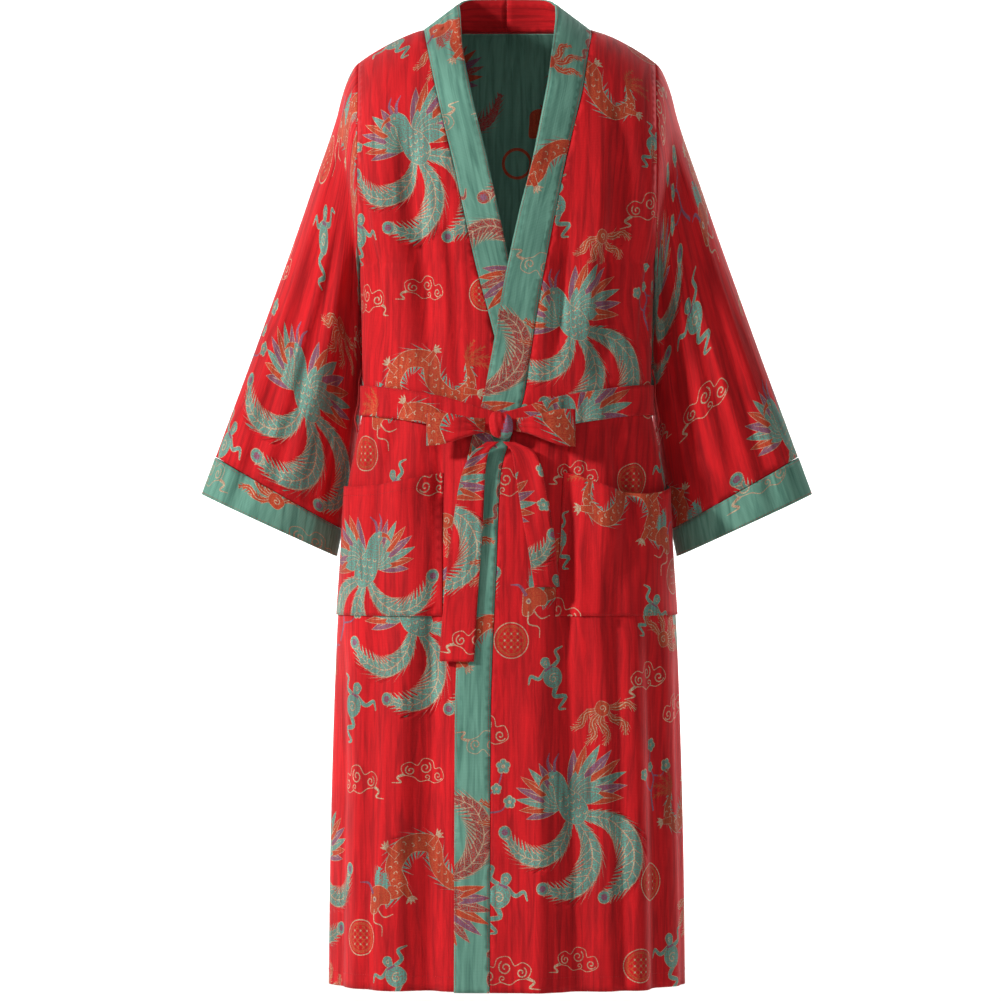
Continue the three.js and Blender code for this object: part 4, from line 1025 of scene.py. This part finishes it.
def wing(x, y, angle, reach):
    drawn = []
    for k in range(8):
        lean = angle + (k - 3.5) * 13
        long = reach * (0.72 + 0.28 * math.sin(math.pi * (k + 1) / 9))
        blade = leaf(x, y, lean, long, reach * 0.2, 0.12)
        drawn += edged(("plum", "rust", "jade")[k % 3], blade, 0.9)
        drawn += [("cream", leaf(x, y, lean, long * 0.86, 1.3, 0.12, 8))]
    for k in range(6):
        blade = leaf(x, y, angle + (k - 2.5) * 17, reach * 0.46, reach * 0.2, 0.1)
        drawn += edged("jade", blade, 0.9)
    return drawn


def phoenix():
    drawn = []
    tails = [
        ([(-6, -14), (-34, -34), (-44, -68), (-26, -98), (8, -104)], 40),
        ([(2, -16), (-2, -46), (12, -74), (42, -84), (68, -66)], 36),
        ([(8, -12), (28, -32), (54, -38), (76, -22), (82, 6)], 30),
    ]
    for line, width in tails:
        drawn += plume(line, width)
        x, y = line[-1]
        drawn += edged("jade", ring_line(x, y, 6.5, 16), 1.2)
        drawn += [("plum", ring_line(x, y, 3.6, 12))]
    drawn += wing(-6, 4, 150, 66)
    drawn += wing(8, 8, 40, 56)
    chest = curve(
        [(-14, -12), (-12, 6), (-4, 18), (-2, 34), (6, 44), (15, 40), (12, 28), (16, 10), (14, -10),
         (0, -22)], 44, True,
    )
    drawn += edged("jade", chest, 1.1)
    for row in range(4):
        for k in range(-1, 2):
            x = k * 8 + (4 if row % 2 else 0) - 1
            drawn += [("cream", scroll(x, -12 + row * 8, 3.4, 180, 0.5, 1.1, 8))]
    drawn += edged("rust", ribbon([(13, 41), (21, 40), (27, 35)], (5, 3, 0.6), 8), 0.8)
    drawn += [("plum", ribbon([(5, 42), (0, 52), (-8, 58)], (4, 3, 0.8), 10))]
    drawn += [("plum", ribbon([(9, 44), (8, 55), (2, 63)], (4, 3, 0.8), 10))]
    drawn += [("cream", ring_line(9, 38, 1.8, 10))]
    return drawn


def dragon():
    spine = [
        (-52, -34), (-34, -48), (-12, -38), (-16, -12), (-34, 6), (-22, 30), (6, 32), (24, 16), (40, 30),
    ]
    drawn = [("jade", comb(spine, 36, 7.5, 0.5, 0.7, (0.3, 0.9, 1, 1, 0.9)))]
    trunk = ribbon(spine, (3, 13, 17, 19, 19, 17, 13), 80)
    drawn += edged("rust", trunk, 1.1)
    line = curve(spine, 34)
    side = sideways(line)
    for k in range(3, 31):
        x, y = line[k] + side[k] * (2.6 if k % 2 else -2.6)
        drawn += [("cream", scroll(x, y, 3.2, math.degrees(math.atan2(*side[k][::-1])), 0.5, 1.0, 7))]
    for x, y, a in ((-24, -46, 250), (-32, 8, 190), (-6, 34, 100), (20, 14, 300)):
        limb = [(x, y), (x + 14 * math.cos(math.radians(a)), y + 14 * math.sin(math.radians(a)))]
        drawn += edged("rust", ribbon(limb, (8, 5), 6), 0.9)
        drawn += [("cream", leaf(*limb[1], a + lean, 9, 3, 0.2, 8)) for lean in (-45, -15, 15, 45)]
    head = curve([(34, 22), (32, 36), (42, 46), (54, 42), (66, 36), (62, 28), (50, 26), (44, 18)], 40, True)
    drawn += [("jade", comb([(40, 34), (28, 44), (14, 46)], 20, 5, 0.4, 1.2))]
    drawn += [("jade", comb([(38, 28), (26, 32), (18, 40)], 16, 5, 0.4, 1.2))]
    drawn += edged("rust", head, 1.2)
    drawn += [("plum", ribbon([(46, 42), (40, 54), (44, 64)], (4, 3, 0.8), 12))]
    drawn += [("cream", ribbon([(60, 32), (72, 26), (70, 14), (80, 8)], (1.8, 1.4, 0.7), 16))]
    drawn += [("cream", ribbon([(56, 28), (60, 16), (52, 8)], (1.8, 1.4, 0.7), 12))]
    drawn += [("cream", ring_line(50, 37, 3.2, 12)), ("plum", ring_line(50, 37, 1.6, 8))]
    for k in range(4):
        a = 150 + k * 28
        bend = math.radians(a)
        tip = math.radians(a + 18)
        middle = (-50 + 15 * math.cos(bend), -35 + 15 * math.sin(bend))
        end = (-50 + 30 * math.cos(tip), -35 + 30 * math.sin(tip))
        drawn += [("rust", comb([(-50, -35), middle, end], 10, 5))]
    return drawn


# %% [markdown]
# One repeat of the weave holds every figure at least once. Each panel is cut from the
# repeated cloth at a place of its own, so no two panels match at a seam.

# %% One repeat of the weave
DRAWN_AT = 1.3  # the figures were sketched smaller than they are woven
REPEAT = (330.0 * DRAWN_AT, 460.0 * DRAWN_AT)
# figure, x, y, turned by, size, mirrored
LAYOUT = [
    (phoenix, 84, 104, -12, 0.86, False), (dragon, 236, 118, 62, 0.86, True),
    (phoenix, 232, 334, 24, 0.88, True), (dragon, 66, 352, -64, 0.86, False),
    (cloud, 166, 30, 0, 0.75, False), (cloud, 312, 214, 10, 0.72, True),
    (cloud, 142, 262, -8, 0.75, True), (cloud, 30, 244, 12, 0.7, False),
    (roundel, 170, 178, 0, 0.72, False), (roundel, 318, 408, 0, 0.76, False),
    (roundel, 300, 26, 0, 0.68, False), (gourd, 22, 22, 14, 0.78, False),
    (gourd, 158, 420, -22, 0.8, True), (gourd, 212, 214, 30, 0.72, False),
    (flame, 262, 244, 200, 0.72, False), (flame, 104, 236, 20, 0.68, True),
    (flame, 4, 176, -30, 0.74, False), (flame, 66, 438, 160, 0.7, False),
    (twig, 150, 330, 20, 0.8, False), (twig, 322, 312, -40, 0.75, True),
    (cloud, 236, 20, -6, 0.62, True), (gourd, 312, 150, -30, 0.6, True),
]
# Where each piece is cut from the cloth, as an offset into the repeat.
CUT_FROM = {
    "back": (208, 46), "front_left": (215, 20), "front_right": (-12, 250),
    "sleeve_left": (90, 330), "sleeve_right": (180, 130), "band_left": (60, 10),
    "band_right": (255, 150), "cuff_left": (130, 40), "cuff_right": (20, 300),
    "pocket_left": (300, 120), "pocket_right": (120, 30), "belt_waist": (0, 90),
    "bow_left": (36, 435), "bow_right": (257, 130), "tail_left": (230, 340), "tail_right": (60, 60),
}


NECK_PLAIN = 125.0  # length of each band half, up to the centre back, without figures


def placed(figure, x, y, angle, size, mirrored):
    a = math.radians(angle)
    turn = np.array([[math.cos(a), -math.sin(a)], [-math.sin(a), -math.cos(a)]]) * size
    flip = np.array([-1 if mirrored else 1, 1])
    return [(ink, (shape * flip) @ turn + [x, y]) for ink, shape in figure()]


repeat_cloth = [(ink, shape * DRAWN_AT) for row in LAYOUT for ink, shape in placed(*row)]
print("outlines in one repeat:", len(repeat_cloth))


def figures_for(name, piece):
    """The outlines of the repeated cloth that meet a piece, moved to its flat frame."""
    left, right = piece.edges(piece.v)
    left, right, low = left.min(), right.max(), piece.v[-1]
    if name.startswith("band"):
        low -= NECK_PLAIN
    off = CUT_FROM[name]
    found = []
    for i in range(-3, 4):
        for j in range(-1, 5):
            move = np.array([i * REPEAT[0] - off[0], j * REPEAT[1] - off[1]])
            for ink, shape in repeat_cloth:
                here = shape + move
                low_x, low_y = here.min(0)
                high_x, high_y = here.max(0)
                plain = name.startswith("band") and high_y > low
                if high_x > left and low_x < right and high_y > 0 and low_y < low and not plain:
                    found.append((ink, here))
    return found


# %% [markdown]
# The panels, in the order in which they would be laid out: back, fronts, sleeves,
# then the band, cuffs and pockets that go on top of them.

# %% Panels of the body
def dress(name, piece, front, back, held="hung", thick=CLOTH, step=STEP, rests_on=()):
    plainer = name.startswith(("back", "front", "sleeve"))
    made = shell("cloth_" + name, piece, figures_for(name, piece), front, back, thick, step, plainer)
    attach(made, "root")
    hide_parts(name)
    piece.area()
    return made


body_rows = level_rows(24, HEM, 170)
pieces = {"back": Piece(grid_of(back_grid, body_rows, 160), 1)}
for side, left in (("left", True), ("right", False)):
    rule = (lambda share, level, left=left: front_grid(share, level, left))
    grid = grid_of(rule, body_rows, 110)
    edge = np.linalg.norm(np.diff(grid, axis=1), axis=2).sum(1)
    sign = 1 if left else -1
    pieces["front_" + side] = Piece(grid, sign, seam_x(grid[:, -1, 2], left) + sign * edge)

# %% Band, pockets, sleeves and cuffs
for side, left in (("left", True), ("right", False)):
    levels = body_rows[::-1]
    share, level = np.meshgrid(np.linspace(0, 1, 14), levels, indexing="xy")
    run = band_front(share, level, left)
    share, along = np.meshgrid(np.linspace(0, 1, 14), np.linspace(0.06, 1, 18), indexing="xy")
    stood = band_back(share, along, left)
    pieces["band_" + side] = Piece(np.concatenate([run, stood]), -1 if left else 1)
    down = np.linspace(0, 1, 50)
    across, drop = np.meshgrid(np.linspace(0, 1, 44), down, indexing="xy")
    pieces["pocket_" + side] = Piece(pocket_grid(across, drop, left), 1 if left else -1)
    round_tube = np.linspace(0.001, 0.999, 150)
    turn, at = np.meshgrid(round_tube, np.linspace(0, CUFF_AT, 110), indexing="xy")
    pieces["sleeve_" + side] = Piece(sleeve_grid(turn, at, left), 1 if left else -1)
    turn, at = np.meshgrid(round_tube, np.linspace(CUFF_AT + 0.0014, 1, 16), indexing="xy")
    pieces["cuff_" + side] = Piece(sleeve_grid(turn, at, left, 0.6), 1 if left else -1)


def turn_out(piece, x, y):
    """Makes the normals point away from the line x, y, given for each row or as one."""
    away = piece.grid[..., :2] - np.stack([x + 0 * piece.grid[..., 0], y + 0 * piece.grid[..., 1]], -1)
    if (away * piece.normal[..., :2]).sum() < 0:
        piece.normal = -piece.normal


for name, piece in pieces.items():
    if name.startswith(("sleeve", "cuff")):
        centre = piece.grid.mean(1, keepdims=True)
        turn_out(piece, centre[..., 0], centre[..., 1])
    elif name == "back":
        turn_out(piece, piece.grid[..., 0], -1000.0)
    else:
        turn_out(piece, piece.grid[..., 0], 1000.0)
    green = name.startswith(("band", "cuff"))
    faces = (GREEN_SIDE, RED_SIDE) if green else (RED_SIDE, GREEN_SIDE)
    thick = DOUBLED if green else CLOTH
    dress(name, piece, *faces, thick=thick, step=BACK_STEP if name == "back" else STEP)

# %% [markdown]
# The belt goes once round the waist, is tied in a flat bow a little below it, and the
# two ends hang down. It pulls the cloth in, and it is held at the sides by thread loops.

# %% Belt, bow and hanging ends
BELT_HEIGHT = 37.0
BELT_SIDE_Z = -463.0
BELT_SAG = 29.0
BELT_CLEAR = 0.9
CINCH = 13.0
PLY = 2.6
KNOT = {"x": -7.5, "z": -496.0, "width": 37.0, "height": 39.0, "depth": 22.0}
TAILS = {
    "left": {
        "z": [-515.9, -527, -552, -602, -637, -694],
        "low": [-5.5, 5, 9.5, 17.5, 23.5, 33],
        "high": [9, 31, 43, 52.5, 58, 65],
        "off": [13, 11, 8, 6, 6.5, 7],
    },
    "right": {
        "z": [-515.9, -528, -558, -625, -702, -785],
        "low": [-24, -41, -55, -66.5, -75.5, -82.5],
        "high": [-9.5, -22, -26.5, -29.5, -35, -40],
        "off": [13, 11, 8, 6, 5, 5],
    },
}
# side, tip, tip z, tip height, root z, root height, plump
LOOPS = {"left": (1, 84, -499, 46, -495, 17, 7), "right": (-1, 99, -501, 40, -496, 18, 7)}
LOOP_CLEAR = 2.5


def belt_at(x):
    to_knot = 1 - np.clip(np.abs(x - KNOT["x"]) / body["half"](BELT_SIDE_Z), 0, 1)
    height = BELT_HEIGHT - CINCH * smooth((to_knot - 0.55) / 0.45)
    return BELT_SIDE_Z - BELT_SAG * to_knot**1.3, height


def belt_grid(station, across):
    x = ring_point(station, BELT_SIDE_Z + 0 * station)[0]
    on_front = station < 0.5
    middle, height = belt_at(x)
    middle = np.where(on_front, middle, BELT_SIDE_Z)
    height = np.where(on_front, height, BELT_HEIGHT)
    z = middle + height * (0.5 - across)
    climb = smooth((LAP_FROM - x) / (LAP_FROM - LAP_FULL)) * smooth((x + 125) / 50)
    layers = np.where(on_front, (lap["over"](z) + BAND_PROUD) * climb, 0)
    return surface(station, z, layers + BELT_CLEAR + PLY)


def before(x, z, off):
    return surface(station_at(x, z, True), z, lap["over"](z) + BAND_PROUD + off)


def belt_face(x):
    x = np.array([float(x)])
    middle, height = belt_at(x)
    return float(before(x, middle - height / 2, BELT_CLEAR + PLY)[0, 1])


def loop_grid(share, across, size):
    side, tip, tip_z, tip_height, root_z, root_height, plump = size
    start = KNOT["x"] + side * (KNOT["width"] / 2 + GAP)
    turn = 2 * np.pi * share
    out = (1 - np.cos(turn)) / 2
    x = mix(start, side * tip, out)
    height = mix(root_height, tip_height, smooth(out * 1.15))
    z = mix(root_z, tip_z, out) + height * (0.5 - across)
    half = PLY + 0.8 + (plump - PLY) * np.sin(np.pi * np.clip(out, 0, 1)) ** 0.8
    middle = belt_face(start) - LOOP_CLEAR - plump - 4 * np.sin(np.pi * out)
    face = np.sign(np.sin(turn)) * np.abs(np.sin(turn)) ** 0.3
    pleat = 2.4 * np.cos(3 * 2 * np.pi * (across - 0.5)) * smooth((0.85 - out) / 0.6) * smooth(out / 0.2)
    return np.stack([x, middle + face * (half + pleat * 0.8), z], -1)


def tail_grid(across, down, table):
    edge = columns(table, "z")
    z = mix(table["z"][0], table["z"][-1], down)
    x = mix(edge["high"](z), edge["low"](z), across)
    wave = 1.2 * np.sin(2.2 * np.pi * across + 1.0) * smooth(down / 0.15) * (1 - 0.5 * down)
    return before(x, z, edge["off"](z) + wave)


def meshed(rule, wide, tall, *rest):
    share, down = np.meshgrid(wide, tall, indexing="xy")
    return Piece(rule(share, down, *rest), 1)


strips = {"belt_waist": meshed(belt_grid, np.linspace(0.0004, 0.9996, 420), np.linspace(0, 1, 12))}
for side in ("left", "right"):
    round_loop = np.linspace(0.02, 0.98, 90)
    strips["bow_" + side] = meshed(loop_grid, round_loop, np.linspace(0, 1, 22), LOOPS[side])
    strips["tail_" + side] = meshed(tail_grid, np.linspace(0, 1, 18), np.linspace(0, 1, 80), TAILS[side])
for name, piece in strips.items():
    if name.startswith("bow"):
        centre = piece.grid.mean(1, keepdims=True)
        turn_out(piece, centre[..., 0], centre[..., 1])
    elif name == "belt_waist":
        turn_out(piece, 0.0, 0.0)
    else:
        turn_out(piece, piece.grid[..., 0], 1000.0)
    dress(name, piece, RED_SIDE, RED_SIDE, held="folded", thick=2.2, step=4.0)

# %% [markdown]
# The knot is where one end of the belt is wound round the other and pulled tight: a
# padded lump of two lobes with a groove between them, the second one showing the
# figured side. A closed ring mesh with the groove and creases pressed in gives that.

# %% The knot: a wrapped lump with creases pulled tight round it
KNOT_RINGS = 26
KNOT_TURNS = 48


def knot_mesh():
    face = belt_face(KNOT["x"]) - GAP
    points = []
    for i in range(KNOT_RINGS + 1):
        rise = math.cos(math.pi * i / KNOT_RINGS)
        round_at = max(math.sin(math.pi * i / KNOT_RINGS), 0.02) ** 0.7
        for j in range(KNOT_TURNS):
            turn = 2 * math.pi * j / KNOT_TURNS
            c, s = math.cos(turn), math.sin(turn)
            split = c - 0.12 - 0.3 * rise
            groove = 0.2 * math.exp(-((split / 0.13) ** 2)) if s > 0 else 0
            folds = 0.09 * math.sin(13 * c + 3 * rise) * (1 if split < 0 else 0.35)
            crease = 1 - groove + folds * max(s, 0)
            x = 0.8 * KNOT["width"] / 2 * round_at * math.copysign(abs(c) ** 0.8, c) * (1 + 0.3 * folds)
            y = KNOT["depth"] / 2 * (1 + round_at * math.copysign(abs(s) ** 0.75, s) * crease)
            z = KNOT["z"] + 0.86 * KNOT["height"] / 2 * math.copysign(abs(rise) ** 0.85, rise) - 1.5 * c
            points.append((KNOT["x"] + x, face - y, z))
    faces = []
    for i in range(KNOT_RINGS):
        for j in range(KNOT_TURNS):
            a = i * KNOT_TURNS + j
            b = i * KNOT_TURNS + (j + 1) % KNOT_TURNS
            faces.append([a, a + KNOT_TURNS, b + KNOT_TURNS, b])
    faces.append(list(range(KNOT_TURNS)))
    faces.append(list(range(KNOT_RINGS * KNOT_TURNS, (KNOT_RINGS + 1) * KNOT_TURNS))[::-1])
    points = np.array(points)
    slots = np.zeros(len(faces), int)
    for k, f in enumerate(faces):
        x, _, z = points[f].mean(0)
        rise = (z - KNOT["z"]) / (KNOT["height"] / 2)
        split = (x - KNOT["x"]) / (KNOT["width"] / 2) - 0.12 - 0.3 * rise
        if split > 0.04:
            slots[k] = 4 if rise > -0.45 else 1
    made = mesh_object("cloth_belt_knot", points, faces, slots, RED_SIDE, points[:, [0, 2]])
    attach(made, "root")
    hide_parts("belt_knot")
    return made


knot_mesh()

# %% [markdown]
# Loops of twisted sewing thread at the side seams hold the belt up. Three round strands
# wind about one line, which is fastened to the seam at both ends and clears the belt.

# %% Thread loops at the side seams
CARRIER = {"top": -424.0, "bottom": -503.0, "ends": 18.0, "slack": 3.0, "thick": 2.4}


def carrier(name, sign):
    z = np.linspace(CARRIER["top"], CARRIER["bottom"], 60)
    ends = CARRIER["ends"]
    away = smooth((CARRIER["top"] - z) / ends) * smooth((z - CARRIER["bottom"]) / ends)
    slack = CARRIER["slack"] * smooth((CARRIER["top"] - z - 30) / 30) * away
    out = GAP + (BELT_CLEAR + PLY) * away + slack + CARRIER["thick"] / 2
    x = sign * (body["half"](z) + out)
    points = []
    faces = []
    strands = 3
    sides = 6
    for k in range(strands):
        lead = 2 * math.pi * k / strands
        for i in range(len(z)):
            wind = lead + i * 0.55
            cx = 0.62 * math.cos(wind)
            cy = 0.62 * math.sin(wind)
            for j in range(sides):
                turn = 2 * math.pi * j / sides
                points.append((x[i] + cx + 0.58 * math.cos(turn), cy + 0.58 * math.sin(turn), z[i]))
        start = k * len(z) * sides
        for i in range(len(z) - 1):
            for j in range(sides):
                a = start + i * sides + j
                b = start + i * sides + (j + 1) % sides
                faces.append([a, b, b + sides, a + sides])
        faces.append([start + j for j in range(sides)][::-1])
        last = start + (len(z) - 1) * sides
        faces.append([last + j for j in range(sides)])
    points = np.array(points)
    made = mesh_object(name, points, faces, np.zeros(len(faces), int), [thread], points[:, [0, 2]])
    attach(made, "root")
    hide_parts("carrier_" + name.split("_")[-1])
    return made


for name, sign in (("thread_loop_left", 1), ("thread_loop_right", -1)):
    carrier(name, sign)

# %% [markdown]
# Machine stitches in red thread run along the band, cuffs, pockets, hems and belt. One
# stitch is made once, a flattened bead that lies on the cloth, then set along each row
# and joined. They are 3 mm apart, a little coarser than real ones, so that they show.

# %% One stitch
bpy.ops.object.select_all(action="DESELECT")
bpy.ops.mesh.primitive_uv_sphere_add(segments=6, ring_count=3, radius=1.0, location=(0, 0, 0))
pattern = bpy.context.active_object
pattern.name = "one_stitch"
pattern.scale = (1.15, 0.3, 0.22)
bpy.ops.object.transform_apply(location=False, rotation=False, scale=True)
stitch_points = np.array([tuple(v.co) for v in pattern.data.vertices])
stitch_faces = [list(p.vertices) for p in pattern.data.polygons]
bpy.data.objects.remove(pattern)

# %% Rows of stitches
PITCH = 3.0


def row_on(piece, line):
    """Places and directions of the stitches along a line given flat, in u and v."""
    line = np.asarray(line, float)
    run = np.concatenate([[0], np.cumsum(np.linalg.norm(np.diff(line, axis=0), axis=1))])
    at = np.arange(PITCH / 2, run[-1], PITCH)
    u, v = (np.interp(at, run, line[:, k]) for k in (0, 1))
    ahead = np.minimum(at + 1.0, run[-1])
    behind = ahead - 2.0
    here, normal = piece.place(u, v)
    fore = piece.place(np.interp(ahead, run, line[:, 0]), np.interp(ahead, run, line[:, 1]))[0]
    aft = piece.place(np.interp(behind, run, line[:, 0]), np.interp(behind, run, line[:, 1]))[0]
    way = fore - aft
    way /= np.maximum(np.linalg.norm(way, axis=1, keepdims=True), 1e-9)
    return here + normal * 0.12, way, normal


def along_edge(piece, inset, end, v_from=0.0):
    """A line down the piece at a distance from its low or high side."""
    v = np.linspace(v_from, piece.v[-1], 160)
    low, high = piece.edges(v)
    return np.stack([low + inset if end == "low" else high - inset, v], 1)


def across_piece(piece, v, inset=0.0):
    low, high = piece.edges(np.array([v]))
    u = np.linspace(low[0] + inset, high[0] - inset, 120)
    return np.stack([u, np.full_like(u, v)], 1)


def stitched(name, rows):
    places, ways, normals = (np.concatenate(part) for part in zip(*rows))
    third = np.cross(normals, ways)
    points = (
        places[:, None]
        + ways[:, None] * stitch_points[None, :, :1]
        + third[:, None] * stitch_points[None, :, 1:2]
        + normals[:, None] * stitch_points[None, :, 2:]
    ).reshape(-1, 3)
    many = len(stitch_points)
    faces = [[i + k * many for i in face] for k in range(len(places)) for face in stitch_faces]
    made = mesh_object(name, points, faces, np.zeros(len(faces), int), [thread], points[:, [0, 2]])
    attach(made, "root")
    print(name, len(places), "stitches")
    return made


rows = []
for side in ("left", "right"):
    band = pieces["band_" + side]
    rows.append(row_on(band, along_edge(band, 2.2, "low")))
    rows.append(row_on(band, along_edge(band, 2.0, "high")))
    cuff = pieces["cuff_" + side]
    rows.append(row_on(cuff, across_piece(cuff, 2.2)))
    rows.append(row_on(cuff, across_piece(cuff, cuff.v[-1] - 2.2)))
    pocket = pieces["pocket_" + side]
    rows.append(row_on(pocket, along_edge(pocket, 2.2, "low", 12.0)))
    rows.append(row_on(pocket, along_edge(pocket, 2.2, "high", 12.0)))
    rows.append(row_on(pocket, across_piece(pocket, 12.0, 2.2)))
    rows.append(row_on(pocket, across_piece(pocket, pocket.v[-1] - 2.2, 2.2)))
    panel = pieces["front_" + side]
    rows.append(row_on(panel, across_piece(panel, panel.v[-1] - 18.0, 1.0)))
    tail = strips["tail_" + side]
    rows.append(row_on(tail, along_edge(tail, 1.8, "low", 14.0)))
    rows.append(row_on(tail, along_edge(tail, 1.8, "high", 14.0)))
    rows.append(row_on(tail, across_piece(tail, tail.v[-1] - 2.0, 1.8)))
belt = strips["belt_waist"]
rows.append(row_on(belt, across_piece(belt, 1.8)))
rows.append(row_on(belt, across_piece(belt, belt.v[-1] - 1.8)))
rows.append(row_on(pieces["back"], across_piece(pieces["back"], pieces["back"].v[-1] - 18.0, 1.0)))
stitched("seam_stitches", rows)

# %% [markdown]
# A pale studio: floor and backdrop in one sweep, one strong narrow light from the left
# that draws out the folds, weak ones from the right and the front, one from behind, and
# two that whiten the backdrop. The world lights weakly, but the camera sees it nearly
# white, so that a view from behind isn't dark.

# %% Studio
FLOOR = -1.34
sweep = bpy.data.meshes.new("studio_sweep")
profile = [(-9.0, FLOOR), (6.4, FLOOR), (7.4, FLOOR + 0.15), (8.2, FLOOR + 0.8), (8.5, 8.0)]
corners = [(x, y, z) for x in (-12.0, 12.0) for y, z in profile]
count = len(profile)
sweep.from_pydata(corners, [], [[i, i + 1, i + 1 + count, i + count] for i in range(count - 1)])
for polygon in sweep.polygons:
    polygon.use_smooth = True
backdrop = bpy.data.objects.new("studio_sweep", sweep)
bpy.context.collection.objects.link(backdrop)
paper = bpy.data.materials.new("studio_paper")
paper.use_nodes = True
tree = paper.node_tree
tree.nodes.clear()
speck = add(tree, "ShaderNodeTexNoise", {"Scale": 3.0, "Detail": 1.0})
tone = add(tree, "ShaderNodeValToRGB", links={"Fac": speck.outputs["Fac"]})
tone.color_ramp.elements[0].color = colour("#C9C8C6")
tone.color_ramp.elements[1].color = colour("#CDCCCA")
sheet_of_paper = add(
    tree, "ShaderNodeBsdfPrincipled", {"Roughness": 0.9}, {"Base Color": tone.outputs["Color"]},
)
add(tree, "ShaderNodeOutputMaterial", links={"Surface": sheet_of_paper.outputs["BSDF"]})
sweep.materials.append(paper)

world = bpy.data.worlds.new("studio_world")
world.use_nodes = True
background = world.node_tree.nodes["Background"]
background.inputs["Color"].default_value = (1, 1, 1, 1)
seen = add(world.node_tree, "ShaderNodeLightPath").outputs["Is Camera Ray"]
glow = add(world.node_tree, "ShaderNodeMapRange", {"To Min": 0.06, "To Max": 0.95}, {"Value": seen})
world.node_tree.links.new(glow.outputs["Result"], background.inputs["Strength"])
bpy.context.scene.world = world
# name, place, aim, width, power
LIGHTS = [
    ("key_light", (-4.7, -2.9, 1.8), (0, 0, -0.6), 0.7, 400),
    ("side_light", (4.6, -3.0, 0.8), (0, 0, -0.6), 1.2, 38),
    ("front_light", (0.0, -5.6, 0.9), (0, 0, -0.6), 1.2, 44),
    ("rear_light", (3.6, 4.0, 1.6), (0, 0, -0.5), 0.9, 100),
    ("backdrop_light_left", (-5.5, 4.6, 2.5), (-1.5, 8.4, -0.4), 2.5, 1000),
    ("backdrop_light_right", (5.5, 4.6, 2.5), (1.5, 8.4, -0.4), 2.5, 1000),
]
for name, place, aim, width, power in LIGHTS:
    lamp = bpy.data.lights.new(name, "AREA")
    lamp.energy = power
    lamp.size = width
    holder = bpy.data.objects.new(name, lamp)
    holder.location = place
    way = Vector(aim) - Vector(place)
    holder.rotation_euler = way.to_track_quat("-Z", "Y").to_euler()
    bpy.context.collection.objects.link(holder)
bpy.context.scene.view_settings.view_transform = "Standard"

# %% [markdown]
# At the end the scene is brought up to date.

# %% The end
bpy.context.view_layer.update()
